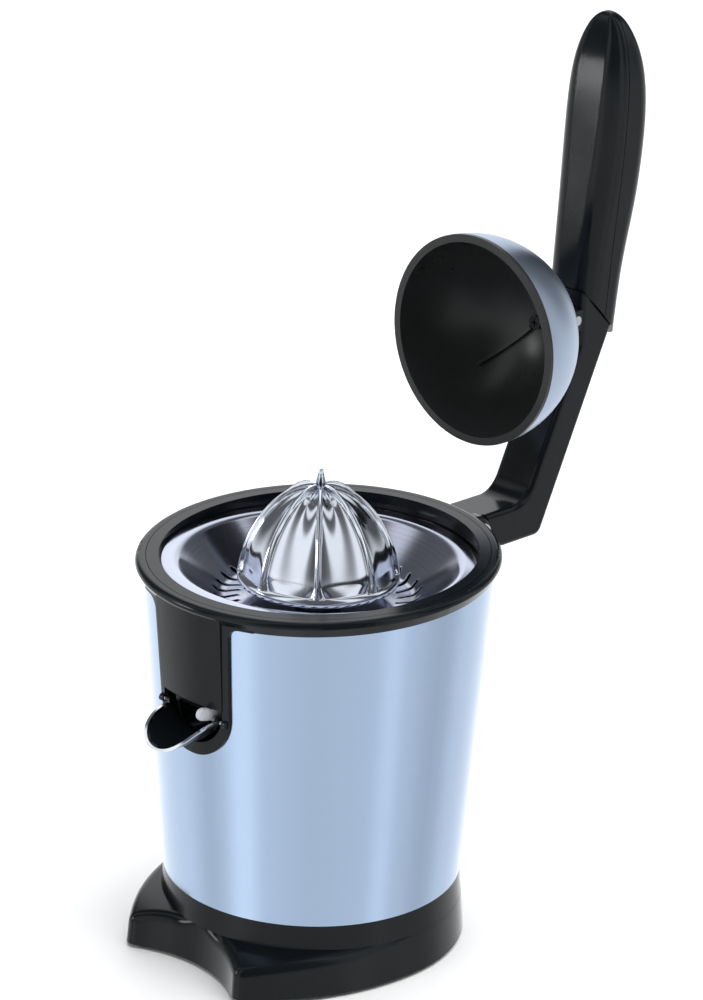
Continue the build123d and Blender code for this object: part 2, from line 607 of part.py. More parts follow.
def make_top_collar():
    """Tilted collar ring with the apron and hood in front and the hinge clevis behind."""
    lean_r = BAND_R + BAND_LEAN
    ledge = BAND_H - LEDGE_DROP
    band = outline(
        (SKIRT_R - LEDGE_W, -SKIRT_H), (SKIRT_R, -SKIRT_H), (SKIRT_R, 0), (BAND_R, 0),
        (lean_r, BAND_H - BAND_ROUND), (lean_r, BAND_H), (COLLAR_IN_R, BAND_H),
        (COLLAR_IN_R, ledge), (SKIRT_R - LEDGE_W, ledge),
    )
    corner = [v for v in band.vertices() if v.X > lean_r - FIT]
    band = fillet([corner[0] if corner[0].Y > corner[1].Y else corner[1]], BAND_ROUND - FIT)
    collar = TILT * revolve(Plane.XZ * band, Axis.Z)
    apron = cone_shell(FIT, APRON_T, APRON_Z - FIT, COLLAR_Z + BAND_H / 2) & front_prism(apron_plan())
    apron -= front_prism(opening_face(0))
    apron -= above_tilt(BAND_H / 4)
    hole_l = CHEEK_T + 2 * FIT
    for side in (-1, 1):
        seat = side * (apron_half(PEG_Z + EAR_R) - FRAME_W + FIT)
        cheek = crossbar(EAR_R, min(seat, seat + side * CHEEK_T), CHEEK_T, PEG_Y, PEG_Z)
        apron += cheek - sleeve_core(FIT, APRON_Z, HOOD_Z + EAR_R)
        hole = side * (OPENING_W / 2 - FIT)
        apron -= crossbar(PEG_SHANK_R + PRESS, min(hole, hole + side * hole_l), hole_l, PEG_Y, PEG_Z)
    bracket = make_hinge_bracket()
    bracket -= TILT * Pos(0, 0, -FAR) * Cylinder(BAND_R - BAND_OVER, FAR, align=UP)
    bracket -= sleeve_core(FIT, SLEEVE_Z, COLLAR_Z + BAND_H) - above_tilt(0)
    inside = TILT * Cylinder(COLLAR_IN_R, FAR, align=(Align.CENTER, Align.CENTER, Align.CENTER))
    collar += apron
    collar += make_hood()
    collar += bracket - inside
    collar -= lever_slot()
    return collar - crossbar(PIN_R + PRESS, -BRACKET_W, 2 * BRACKET_W, HINGE_Y, HINGE_Z)


def make_hood():
    """Hood in the apron's opening: flush with the collar's edge, sloping in to a chin over the spout."""
    chin_r = sleeve_r(HOOD_Z) + HOOD_CHIN
    meet_z = COLLAR_Z + HOOD_MEET - BAND_R * TILT_SLOPE
    meet_r = BAND_R + BAND_LEAN * HOOD_MEET / (BAND_H - BAND_ROUND)
    slope = (meet_r - chin_r) / (meet_z - HOOD_Z)
    high = COLLAR_Z + BAND_H
    slab = turned(
        (sleeve_r(HOOD_Z) + FIT, HOOD_Z), (chin_r, HOOD_Z),
        (chin_r + slope * (high - HOOD_Z), high), (sleeve_r(high) + FIT, high),
    )
    return (slab & front_prism(opening_face(FIT))) - above_tilt(BAND_H - BAND_ROUND)


def make_spout_pegs():
    """Pivot pegs in the apron: a bare pin at the left, and at the right a pin with a light tab inside the spout."""
    shank_end = OPENING_W / 2 + CHEEK_T
    pin_end = SPOUT_W / 2 - SPOUT_T / 2 + FIT
    pin = crossbar(PEG_SHANK_R, -shank_end, shank_end - pin_end, PEG_Y, PEG_Z)
    tab_out = SPOUT_W / 2 - SPOUT_T - TAB_GAP
    side = Pos(PEG_Y, PEG_Z + TAB_LIFT) * Rot(0, 0, -TAB_RISE) * Pos((TAB_BACK - TAB_FRONT) / 2, 0)
    side *= SlotCenterToCenter(TAB_BACK + TAB_FRONT, 2 * TAB_R)
    tab = Pos(tab_out - TAB_W, 0, 0) * extrude(Plane.YZ * side, TAB_W)
    tab = fillet(tab.faces().filter_by(Axis.X).edges(), TAB_EDGE)
    return Compound(children=[pin, tab + crossbar(PEG_SHANK_R, tab_out, shank_end - tab_out, PEG_Y, PEG_Z)])


# Spout


def spout_bar(radius, front, back):
    """Round bar on the spout's own axis."""
    return Pos(0, front, SPOUT_AXIS_Z) * Rot(-90, 0, 0) * Cylinder(radius, back - front, align=UP)


def spout_room():
    """Space inside the spout's walls."""
    return spout_bar(SPOUT_W / 2 - SPOUT_T, PEG_Y - SPOUT_REACH, PEG_Y + SPOUT_BACK)


def spout_walls():
    """Pipe of the spout before its rim is cut."""
    return spout_bar(SPOUT_W / 2, PEG_Y - SPOUT_REACH, PEG_Y + SPOUT_BACK) - spout_room()


def above_rim(drop):
    """Everything above the spout's rim sunk by drop: level behind the pivot, then round down to the nose."""
    fall = SPOUT_RIM_Z - SPOUT_FLOOR_Z - SPOUT_TIP_H
    radius = (SPOUT_REACH ** 2 + fall ** 2) / (2 * fall)
    turn = math.asin(SPOUT_REACH / radius)
    rim_z = SPOUT_RIM_Z - drop
    tip = (PEG_Y - (radius - drop) * math.sin(turn), SPOUT_RIM_Z - radius + (radius - drop) * math.cos(turn))
    high = FAR * 2
    face = make_face([
        Line((PEG_Y + FAR, rim_z), (PEG_Y, rim_z)),
        TangentArc((PEG_Y, rim_z), tip, tangent=(-1, 0)),
        Line(tip, (tip[0], 0)),
        Line((tip[0], 0), (PEG_Y - FAR, 0)),
        Line((PEG_Y - FAR, 0), (PEG_Y - FAR, high)),
        Line((PEG_Y - FAR, high), (PEG_Y + FAR, high)),
        Line((PEG_Y + FAR, high), (PEG_Y + FAR, rim_z)),
    ])
    return side_plate(face, FAR / 2)


def make_spout_trough():
    """Half-round pouring trough with two ears on the pivot pegs."""
    trough = spout_walls() - above_rim(LIP_STRIP)
    ear_in = SPOUT_W / 2 - 2 * SPOUT_T
    ear_t = OPENING_W / 2 - 2 * FIT - ear_in
    for side in (-1, 1):
        near = min(side * ear_in, side * (ear_in + ear_t))
        web = Pos(near, PEG_Y - EAR_R, PEG_Z - EAR_DROP) * Box(
            ear_t, 2 * EAR_R, EAR_DROP, align=(Align.MIN, Align.MIN, Align.MIN)
        )
        ear = crossbar(EAR_R, near, ear_t, PEG_Y, PEG_Z) + web
        trough += (ear & front_prism(opening_face(-SPOUT_GAP))) - spout_room()
    trough -= crossbar(PEG_SHANK_R + RUN, 0, FAR / 2, PEG_Y, PEG_Z)
    blind = SPOUT_W / 2 - SPOUT_T / 2
    return trough - crossbar(PEG_SHANK_R + RUN, -FAR / 2, FAR / 2 - blind, PEG_Y, PEG_Z)


def make_spout_lip():
    """Bright strip round the spout's rim, in front of the ears."""
    strip = (spout_walls() & above_rim(LIP_STRIP)) - above_rim(0)
    behind = Pos(0, PEG_Y - EAR_R, 0) * Box(FAR, FAR, FAR * 2, align=(Align.CENTER, Align.MIN, Align.CENTER))
    return strip - behind


# Tray


def tray_boss_places():
    """Places where the long gearbox screws end in the tray."""
    return ring_places(BOX_SCREW_R, 4, 45)


def make_juice_tray():
    """Tray with a conical floor, a hub for the spindle, an outlet and a rim that shows in the collar."""
    high = COLLAR_Z + 2 * BAND_H
    seat_r = STRAINER_R - STRAINER_RIM_W / 2
    wall_in = STRAINER_R + 2 * FIT
    floor_in = TRAY_LOW_R - TRAY_T
    neck_z = TRAY_LEDGE_Z - 2 * STRAINER_RIM_W
    tray = turned(
        (TRAY_R, high), (TRAY_R, neck_z + TRAY_R - seat_r), (seat_r + TRAY_T, neck_z), (TRAY_LOW_R, TRAY_FLOOR_Z),
        (floor_in - GUTTER_W, TRAY_FLOOR_Z), (HUB_SHELF_R, HUB_SHELF_Z), (SPINDLE_R + BUSH_T, HUB_SHELF_Z),
        (SPINDLE_R + BUSH_T, HUB_TOP_Z), (HUB_R, HUB_TOP_Z), (HUB_R, HUB_SHELF_Z + TRAY_T),
        (HUB_SHELF_R, HUB_SHELF_Z + TRAY_T), (floor_in - GUTTER_W, TRAY_FLOOR_Z + TRAY_T),
        (floor_in, TRAY_FLOOR_Z + TRAY_T), (seat_r, neck_z), (seat_r, TRAY_LEDGE_Z), (wall_in, TRAY_LEDGE_Z),
        (wall_in, high),
    )
    rim_in = (wall_in + TRAY_R) / 2
    tray += TILT * ring(rim_in, COLLAR_IN_R - FIT, BAND_H - LEDGE_DROP, 2 * LEDGE_DROP)
    tray -= above_tilt(BAND_H)
    foot_y = PEG_Y + SPOUT_BACK - MOUTH_OVER
    top_y = foot_y - MOUTH_SLANT
    top_z = TRAY_FLOOR_Z + NOZZLE_H
    back_y = TRAY_T - floor_in
    middle = ((foot_y + top_y) / 2 - MOUTH_BULGE, TRAY_FLOOR_Z + NOZZLE_H / 2)
    side = make_face([
        Line((back_y, TRAY_FLOOR_Z), (foot_y, TRAY_FLOOR_Z)),
        ThreePointArc((foot_y, TRAY_FLOOR_Z), middle, (top_y, top_z)),
        Line((top_y, top_z), (back_y, top_z)),
        Line((back_y, top_z), (back_y, TRAY_FLOOR_Z)),
    ])
    nozzle_r = SPOUT_W / 2 - SPOUT_T - FIT
    duct = side_plate(side, NOZZLE_W / 2) & spout_bar(nozzle_r, top_y - TRAY_T, 0)
    bore = Pos(0, top_y - TRAY_T, TRAY_FLOOR_Z) * Box(
        NOZZLE_W - 2 * TRAY_T, -top_y, NOZZLE_H - TRAY_T, align=(Align.CENTER, Align.MIN, Align.MIN)
    )
    bore &= spout_bar(nozzle_r - TRAY_T, top_y - TRAY_T, 0)
    bore -= Cylinder(floor_in - GUTTER_W / 2, FAR * 2)
    tray += duct
    tray -= bore
    for place in tray_boss_places():
        boss = place * post(BOSS_R, 0, 0, COVER_TOP, HUB_SHELF_Z - COVER_TOP)
        tray += boss - tray_room()
        tray -= place * post(SCREW_R + PRESS, 0, 0, COVER_TOP, BOSS_R)
    return tray


def tray_room():
    """The space above the middle of the tray's floor."""
    floor_in = TRAY_LOW_R - TRAY_T
    lift = TRAY_T / 2
    return turned(
        (0, HUB_SHELF_Z + lift), (HUB_SHELF_R, HUB_SHELF_Z + lift), (floor_in - GUTTER_W, TRAY_FLOOR_Z + lift),
        (floor_in, TRAY_FLOOR_Z + lift), (floor_in, FAR), (0, FAR),
    )


def make_upper_bush():
    """Bronze bush that guides the spindle in the tray's hub."""
    return ring(SPINDLE_R + RUN, SPINDLE_R + BUSH_T - PRESS, HUB_TOP_Z - SEAL_H - BUSH_L, BUSH_L)


def make_spindle_seal():
    """Rubber seal at the top of the hub."""
    return ring(SPINDLE_R + SEAL_LIP, SPINDLE_R + BUSH_T - PRESS, HUB_TOP_Z - SEAL_H, SEAL_H)


# Strainer and cone


def make_strainer_bowl():
    """Sheet bowl with a flat rim, a conical wall and slanted drain slots."""
    t = STRAINER_T
    rim_in = STRAINER_R - STRAINER_RIM_W
    hole_top = STRAINER_FLOOR_Z + STRAINER_HOLE_LIP
    bowl = turned(
        (STRAINER_R, STRAINER_Z - t), (STRAINER_R, STRAINER_Z), (rim_in, STRAINER_Z),
        (STRAINER_FLOOR_R, STRAINER_FLOOR_Z), (STRAINER_HOLE_R + t, STRAINER_FLOOR_Z),
        (STRAINER_HOLE_R + t, hole_top), (STRAINER_HOLE_R, hole_top), (STRAINER_HOLE_R, STRAINER_FLOOR_Z - t),
        (STRAINER_FLOOR_R + t / 2, STRAINER_FLOOR_Z - t), (rim_in + t, STRAINER_Z - t),
    )
    slot = Pos(STRAINER_FLOOR_R - SLOT_L / 6, 0, STRAINER_FLOOR_Z - t) * Rot(0, 0, SLOT_SKEW) * Box(
        SLOT_L, SLOT_W, SLOT_L, align=(Align.CENTER, Align.CENTER, Align.CENTER)
    )
    return bowl - [Rot(0, 0, i * 360 / STRAINER_SLOTS) * slot for i in range(STRAINER_SLOTS)]


def dome_face(radius, height):
    """Half outline of the domed cone, from the brim up to the spike."""
    points = [(radius * out, CONE_Z + height * up) for out, up in DOME]
    inner = points[-1][0]
    return make_face([
        Line((inner, CONE_Z), points[0]),
        Spline(*points),
        Line(points[-1], (inner, CONE_Z)),
    ])


def make_reamer_cone():
    """Polished cone: domed panels, thin ribs, a brim and a spike, hollow inside."""
    panels = revolve(Plane.XZ * dome_face(CONE_R - RIB_PROUD, CONE_H - RIB_PROUD), Axis.Z)
    rib = extrude(Plane.XZ * dome_face(CONE_R, CONE_H), RIB_W / 2, both=True)
    spike_top = CONE_Z + CONE_H + SPIKE_H
    spike_low = CONE_Z + CONE_H - RIB_PROUD
    spike = turned((0, CONE_Z), (SPIKE_R, CONE_Z), (SPIKE_R, spike_low), (SPIKE_R / 3, spike_top), (0, spike_top))
    brim = ring(CONE_R / 2, CONE_R, BRIM_Z, BRIM_H)
    brim = fillet(brim.edges().filter_by(GeomType.CIRCLE).group_by(SortBy.RADIUS)[-1], BRIM_ROUND)
    cone = panels + spike + brim
    for i in range(RIBS):
        cone += Rot(0, 0, i * 360 / RIBS) * rib
    return cone - cone_hollow(0)


def cone_hollow(gap):
    """Space inside the cone, less a gap."""
    low_r = CONE_R - RIB_PROUD - CONE_WALL - gap
    waist = CONE_Z + 0.35 * CONE_H
    top = CORE_SOCKET_TOP + CONE_WALL - gap
    return turned((0, BRIM_Z - FIT), (low_r, BRIM_Z - FIT), (low_r * 0.86, waist), (low_r * 0.6, top), (0, top))


def make_cone_core():
    """Plastic core inside the cone with the socket for the spindle."""
    core = cone_hollow(PRESS) - Pos(0, 0, BRIM_Z - 2 * FIT) * Cylinder(FAR, 2 * FIT, align=UP)
    core += post(HUB_R, 0, 0, CORE_Z, BRIM_Z - CORE_Z + FIT)
    socket = Pos(0, 0, CORE_Z) * extrude(hexagon(HEX_AF + HEX_PLAY), CORE_SOCKET_TOP - CORE_Z)
    return core - socket


# Drive


def make_drive_spindle():
    """Spindle: hexagon in the gear, round in the bush, hexagon in the cone."""
    low = Pos(0, 0, SPINDLE_LOW) * extrude(hexagon(HEX_AF), THRUST_Z - SPINDLE_LOW)
    middle = post(SPINDLE_R, 0, 0, THRUST_Z, HUB_TOP_Z - THRUST_Z)
    high = Pos(0, 0, HUB_TOP_Z) * extrude(hexagon(HEX_AF), SPINDLE_TOP - HUB_TOP_Z)
    return low + middle + high


def make_thrust_plate():
    """Plate on the spindle that carries the push to the spring and the switch."""
    return ring(SPINDLE_R + PRESS, THRUST_R, THRUST_Z, THRUST_T)


def make_return_spring():
    """Stack of dished spring discs between the gearbox and the thrust plate."""
    room = THRUST_Z - COVER_TOP
    rise = (room - FIT * (SPRING_DISCS + 1)) / SPRING_DISCS
    discs = []
    for i in range(SPRING_DISCS):
        z = COVER_TOP + FIT + i * (rise + FIT)
        inner, outer = (SPRING_R - SPRING_W, SPRING_R) if i % 2 else (SPRING_R, SPRING_R - SPRING_W)
        discs.append(turned((outer, z), (outer, z + SPRING_T), (inner, z + rise), (inner, z + rise - SPRING_T)))
    return Compound(children=discs)


def switch_place():
    """Place of the microswitch's plunger on the gearbox's cover."""
    return Pos(SWITCH_AT, 0, COVER_TOP)


def make_microswitch():
    """Switch body on the gearbox's cover, under the thrust plate's edge."""
    body = Box(SWITCH_W, SWITCH_L, SWITCH_H, align=UP)
    well = Pos(0, 0, SWITCH_H - PRESS_TRAVEL * 2) * Cylinder(SWITCH_PIN_R + RUN, FAR, align=UP)
    return switch_place() * (body - well)


def make_switch_plunger():
    """Button of the microswitch."""
    low = SWITCH_H - PRESS_TRAVEL + FIT
    high = THRUST_Z - COVER_TOP - FIT
    return switch_place() * Pos(0, 0, low) * Cylinder(SWITCH_PIN_R, high - low, align=UP)


# Gears


def make_motor_pinion():
    """Pinion pressed on the motor's shaft."""
    pinion = Pos(0, 0, GEAR_1_Z) * extrude(gear_face(PINION_TEETH, 90), GEAR_W)
    return pinion - post(SHAFT_R + PRESS, 0, 0, GEAR_1_Z, GEAR_W)


def idler_place():
    """Axis of the idler, behind the motor's shaft."""
    return Pos(0, CENTRES, 0)


def make_idler_gear():
    """Wheel and small pinion in one moulding, running on the idler pin."""
    wheel_phase = -90 + 180 / WHEEL_TEETH
    small_phase = -90
    wheel = Pos(0, 0, GEAR_1_Z) * extrude(gear_face(WHEEL_TEETH, wheel_phase), GEAR_W)
    small = Pos(0, 0, GEAR_1_Z + GEAR_W) * extrude(gear_face(IDLER_TEETH, small_phase), GEAR_W + GEAR_GAP)
    bore = post(IDLER_PIN_R + RUN, 0, 0, GEAR_1_Z, 2 * GEAR_W + GEAR_GAP)
    return idler_place() * (wheel + small - bore)


def make_idler_pin():
    """Pin of the idler, held by the gearbox's floor and cover."""
    low = BOX_FLOOR_TOP - BOX_FLOOR_T / 2
    high = COVER_Z + BOX_T / 2
    return idler_place() * post(IDLER_PIN_R, 0, 0, low, high - low)


def make_output_gear():
    """Output gear with a journal in the cover and a hexagon bore for the spindle."""
    gear = Pos(0, 0, GEAR_2_Z) * extrude(gear_face(OUTPUT_TEETH, 90 + 180 / OUTPUT_TEETH), GEAR_W)
    gear += post(GEAR_HUB_R, 0, 0, GEAR_2_Z, COVER_TOP - GEAR_2_Z)
    return gear - Pos(0, 0, GEAR_2_Z) * extrude(hexagon(HEX_AF + HEX_PLAY), COVER_TOP - GEAR_2_Z)


def make_gearbox_base():
    """Base plate of the gearbox on four legs."""
    plate = post(BOX_R, 0, 0, BOX_Z, BOX_FLOOR_T)
    for place in ring_places(LEG_AT, 4, 0):
        plate += place * post(LEG_R, 0, 0, SLEEVE_Z, LEG_H)
        plate -= place * post(SCREW_R + PRESS, 0, 0, SLEEVE_Z, LEG_R * 3)
    for place in tray_boss_places():
        plate -= place * post(SCREW_R + FIT, 0, 0, BOX_Z, BOX_FLOOR_T)
    plate -= post(BEARING_R + FIT, 0, 0, BOX_Z, BOX_FLOOR_T)
    seat_z = BOX_FLOOR_TOP - BOX_FLOOR_T / 2
    return plate - idler_place() * post(IDLER_PIN_R + PRESS, 0, 0, seat_z, BOX_FLOOR_T)


def make_gearbox_cover():
    """Cover of the gearbox with posts for its long screws and the output gear's journal."""
    height = COVER_TOP - BOX_FLOOR_TOP
    cover = post(BOX_R, 0, 0, BOX_FLOOR_TOP, height) - post(BOX_R - BOX_T, 0, 0, BOX_FLOOR_TOP, height - BOX_T)
    for place in tray_boss_places():
        cover += place * post(BOSS_R, 0, 0, BOX_FLOOR_TOP, height)
        cover -= place * post(SCREW_R + FIT, 0, 0, BOX_FLOOR_TOP, height)
    cover -= post(GEAR_HUB_R + RUN, 0, 0, COVER_Z, BOX_T)
    return cover - idler_place() * post(IDLER_PIN_R + PRESS, 0, 0, COVER_Z, BOX_T / 2)


# Motor


def motor_low():
    """Height of the motor can's lower edge."""
    return BOX_Z - MOTOR_H


def make_motor_can():
    """Drawn steel can, closed at the top, screwed under the gearbox."""
    low = motor_low()
    can = post(MOTOR_R, 0, 0, low, MOTOR_H) - post(MOTOR_R - CAN_T, 0, 0, low, MOTOR_H - CAN_T)
    seat = post(BEARING_R + CAN_T, 0, 0, BOX_Z - CAN_T - BEARING_W, BEARING_W)
    return can + seat - post(BEARING_R + PRESS, 0, 0, BOX_Z - CAN_T - BEARING_W, BEARING_W + CAN_T)


def make_motor_end_cap():
    """Plastic cap that closes the can and holds the lower bearing."""
    low = motor_low()
    cap = post(MOTOR_R, 0, 0, low - CAN_T, CAN_T) + post(MOTOR_R - CAN_T - PRESS, 0, 0, low, CAP_H - CAN_T)
    cap -= post(MOTOR_R - 2 * CAN_T, 0, 0, low, CAP_H)
    cap += post(BEARING_R + CAN_T, 0, 0, low - CAN_T, BEARING_W + CAN_T)
    return cap - post(BEARING_R + PRESS, 0, 0, low, BEARING_W)


def make_motor_bearings():
    """The motor's two bearings."""
    low = ring(SHAFT_R + RUN, BEARING_R, motor_low(), BEARING_W)
    high = ring(SHAFT_R + RUN, BEARING_R, BOX_Z - CAN_T - BEARING_W, BEARING_W)
    return Compound(children=[low, high])


def rotor_low():
    """Height of the rotor core's underside."""
    return motor_low() + CAP_H + COMMUTATOR_H


def make_motor_magnets():
    """Two curved magnets inside the can."""
    r_in = ROTOR_R + AIR_GAP
    whole = ring(r_in, r_in + MAGNET_T, rotor_low(), ROTOR_H)
    gap = Pos(0, 0, rotor_low()) * Box(FAR, ROTOR_R, ROTOR_H, align=UP)
    whole -= gap
    whole += [
        Rot(0, 0, 90 + side) * Pos(r_in + MAGNET_T / 2, 0, rotor_low())
        * Box(MOTOR_R - CAN_T - r_in, MAGNET_T, ROTOR_H, align=(Align.MIN, Align.CENTER, Align.MIN))
        for side in (0, 180)
    ]
    whole &= post(MOTOR_R - CAN_T - PRESS, 0, 0, rotor_low(), ROTOR_H)
    return Compound(children=list(whole.solids()))


def make_rotor_core():
    """Slotted rotor stack with its commutator."""
    core = post(ROTOR_R, 0, 0, rotor_low(), ROTOR_H)
    slot = Pos(0, 0, rotor_low()) * Box(ROTOR_R / 2, ROTOR_R / 8, ROTOR_H, align=UP)
    core -= [place * slot for place in ring_places(ROTOR_R, ROTOR_SLOTS, 0)]
    core += post(COMMUTATOR_R, 0, 0, rotor_low() - COMMUTATOR_H, COMMUTATOR_H)
    return core - post(SHAFT_R + PRESS, 0, 0, rotor_low() - COMMUTATOR_H, COMMUTATOR_H + ROTOR_H)


def make_motor_shaft():
    """Shaft through the motor, with the pinion on its upper end."""
    low = motor_low() + PRESS
    return post(SHAFT_R, 0, 0, low, GEAR_1_Z + GEAR_W - low)


def make_motor_fan():
    """Cooling fan above the rotor."""
    z = rotor_low() + ROTOR_H + PRESS
    hub = post(COMMUTATOR_R, 0, 0, z, FAN_H)
    blade = Pos(0, 0, z) * Box(ROTOR_R, FAN_T, FAN_H, align=(Align.MIN, Align.CENTER, Align.MIN))
    for i in range(FAN_BLADES):
        hub += Rot(0, 0, i * 360 / FAN_BLADES) * blade
    return hub - post(SHAFT_R + PRESS, 0, 0, z, FAN_H)


# Screws of the body


def make_plate_screws():
    """Screws that hold the base's cover, heads sunk level with the vents."""
    length = PLATE_T + 2 * BOSS_R - HEAD_H
    places = [place * Pos(0, 0, FOOT_H) for place in base_places()]
    return screw_group(length, places, flip=True)


def make_leg_screws():
    """Screws from under the deck into the gearbox's legs."""
    places = [place * Pos(0, 0, DECK_Z - HEAD_H) for place in ring_places(LEG_AT, 4, 0)]
    return screw_group(DECK_T + 2 * LEG_R, places, flip=True)


def make_gearbox_screws():
    """Long screws through the gearbox into the tray."""
    places = [place * Pos(0, 0, BOX_Z - HEAD_H) for place in tray_boss_places()]
    return screw_group(COVER_TOP - BOX_Z + BOSS_R - FIT, places, flip=True)


# Lever


def arm_line(rise):
    """Back edge of the lower arm, y, at a rise above the hinge."""
    return HINGE_Y + FOOT_BACK + rise * math.tan(math.radians(ARM_LEAN))


def arm_middle():
    """Middle of the arm at the elbow, y."""
    return arm_line(ELBOW_RISE) - ARM_DEPTH / 2


def above_handle_cut(drop):
    """Everything above the slanted end of the handle, lowered by drop."""
    place = Pos(0, arm_middle(), HINGE_Z + ELBOW_RISE + HANDLE_START) * Rot(-HANDLE_CUT, 0, 0)
    return place * Pos(0, 0, -drop) * Box(FAR, 2 * FAR, FAR, align=UP)


def make_lever_arm():
    """Lever: eye, foot, leaning lower arm, ears for the cup and the spine inside the handle."""
    low = HINGE_Z - LUG_DROP
    top = HINGE_Z + LUG_TOP
    stop_y = HINGE_Y + HINGE_EAR_R + FIT
    head_rise = ELBOW_RISE + 2 * HANDLE_START
    front_low = arm_line(LUG_TOP) - ARM_DEPTH
    front_elbow = arm_line(ELBOW_RISE) - ARM_DEPTH
    face = outline(
        (HINGE_Y, HINGE_Z - EYE_R / 2), (stop_y, HINGE_Z - EYE_R / 2), (stop_y, low + EYE_R),
        (stop_y + 2 * EYE_R, low), (arm_line(-LUG_DROP), low), (arm_line(head_rise), HINGE_Z + head_rise),
        (front_elbow, HINGE_Z + head_rise), (front_elbow, HINGE_Z + ELBOW_RISE), (front_low, top), (HINGE_Y, top),
    )
    inside = face.vertices().sort_by_distance((front_low, top))[:1]
    face = fillet(inside, ARM_FILLET)
    heel = face.vertices().sort_by_distance((arm_line(-LUG_DROP), low))[:1]
    face = fillet(heel, ARM_EDGE * 2)
    arm = side_plate(face, ARM_W / 2)
    sides = arm.faces().filter_by(Axis.X)
    long_edges = [
        e for e in sides.edges()
        if e.center().Y > stop_y + EYE_R + FIT and e.center().Z < HINGE_Z + head_rise - FIT
    ]
    arm = fillet(long_edges, ARM_EDGE) - above_handle_cut(SEAM)
    arm += crossbar(EYE_R, -EYE_W / 2, EYE_W, HINGE_Y, HINGE_Z)
    ear_room = math.hypot(HINGE_EAR_R, LUG_TOP) + 2 * FIT
    for side in (-1, 1):
        near = min(side * EYE_W / 2, side * FAR)
        arm -= crossbar(ear_room, near, FAR - EYE_W / 2, HINGE_Y, HINGE_Z)
    arm -= crossbar(PIN_R + RUN + BUSH_WALL, -FAR / 2, FAR, HINGE_Y, HINGE_Z)
    width = KNUCKLE_W + 2 * (CUP_EAR_T + FIT)
    back = (Align.CENTER, Align.MIN, Align.CENTER)
    ears = Pos(0, PIVOT_Y, CUP_Z) * Box(width, ARM_DEPTH / 2, 2 * KNUCKLE_R, align=back)
    arm += ears + crossbar(KNUCKLE_R, -width / 2, width, PIVOT_Y, CUP_Z)
    slot_l = 2 * KNUCKLE_R + 2 * FIT
    arm -= Pos(0, PIVOT_Y - KNUCKLE_R, CUP_Z) * Box(KNUCKLE_W + 2 * FIT, slot_l, 3 * KNUCKLE_R, align=back)
    arm -= crossbar(KNUCKLE_PIN_R + PRESS, -FAR / 2, FAR, PIVOT_Y, CUP_Z)
    return arm + make_spine(0)


def make_spine(gap):
    """Bar that runs up inside the handle."""
    low = HINGE_Z + ELBOW_RISE
    high = HINGE_Z + SPINE_RISE + gap
    half = SPINE_DEPTH / 2 + gap
    y_low = arm_middle()
    y_high = y_low + SPINE_SET
    face = outline((y_low - half, low), (y_low + half, low), (y_high + half, high), (y_high - half, high))
    return side_plate(face, SPINE_W / 2 + gap)


def handle_solid():
    """Fat tapered grip, lofted through ovals from the elbow to the tip and cut on the slant below."""
    faces = []
    for rise, back, width, depth in HANDLE_SECTIONS:
        faces.append(Pos(0, arm_middle() + back, HINGE_Z + rise) * RectangleRounded(width, depth, HANDLE_ROUND * depth))
    tip = Vertex(0, arm_middle() + HANDLE_SECTIONS[-1][1], HINGE_Z + HANDLE_RISE)
    grip = loft(faces + [tip])
    return grip & above_handle_cut(0)


def make_handle_half(side):
    """Front (-1) or back (1) shell of the grip, parted along the handle."""
    y_low = arm_middle() + HANDLE_SECTIONS[0][1] + side * SEAM / 2
    y_high = arm_middle() + HANDLE_SECTIONS[-1][1] + side * SEAM / 2
    z_low = HINGE_Z + HANDLE_SECTIONS[0][0]
    z_high = HINGE_Z + HANDLE_RISE
    reach = side * FAR / 2
    part = side_plate(
        outline((y_low, z_low), (y_high, z_high), (y_high + reach, z_high), (y_low + reach, z_low)), FAR / 2
    )
    return (handle_solid() - make_spine(PRESS)) & part


def make_handle_front():
    """Front shell of the handle."""
    return make_handle_half(-1)


def make_handle_back():
    """Back shell of the handle."""
    return make_handle_half(1)


def make_hinge_pin():
    """Hinge pin with a button head at each end."""
    length = BRACKET_W + 2 * FIT
    pin = crossbar(PIN_R, -length / 2, length, HINGE_Y, HINGE_Z)
    for side in (-1, 1):
        start = side * length / 2
        near = min(start, start + side * HEAD_H)
        head = crossbar(PIN_R * 1.6, near, HEAD_H, HINGE_Y, HINGE_Z)
        rim = head.edges().filter_by(GeomType.CIRCLE).sort_by(lambda e: abs(e.center().X))[-1:]
        pin += fillet(rim, HEAD_H / 2)
    return pin


def make_hinge_bushes():
    """Two flanged bushes in the lever's eye."""
    bushes = []
    half = EYE_W / 2
    for side in (-1, 1):
        near = 0 + SEAM / 2 if side > 0 else -half
        body = crossbar(PIN_R + RUN + BUSH_WALL - PRESS, near, half - SEAM / 2, HINGE_Y, HINGE_Z)
        bushes.append(body - crossbar(PIN_R + RUN, -FAR / 2, FAR, HINGE_Y, HINGE_Z))
    return Compound(children=bushes)


# Press cup, modelled with its face on y = CUP_Y


def bowl_solid(radius, depth_from):
    """Half ball behind the cup's face, from a depth onward."""
    ball = Sphere(radius)
    ball -= Box(2 * radius, 2 * radius, 2 * radius, align=(Align.CENTER, Align.CENTER, Align.MAX))
    if depth_from > 0:
        ball -= Box(2 * radius, 2 * radius, depth_from, align=UP)
    return Pos(0, CUP_Y, CUP_Z) * Rot(-90, 0, 0) * ball


def make_cup_dome():
    """Steel dome of the press cup."""
    dome_shell = bowl_solid(CUP_R, LINER_RIM) - bowl_solid(CUP_R - CUP_T, 0)
    hole = Pos(0, CUP_Y, CUP_Z) * Rot(-90, 0, 0) * Cylinder(SCREW_R + FIT, FAR, align=UP)
    return dome_shell - hole


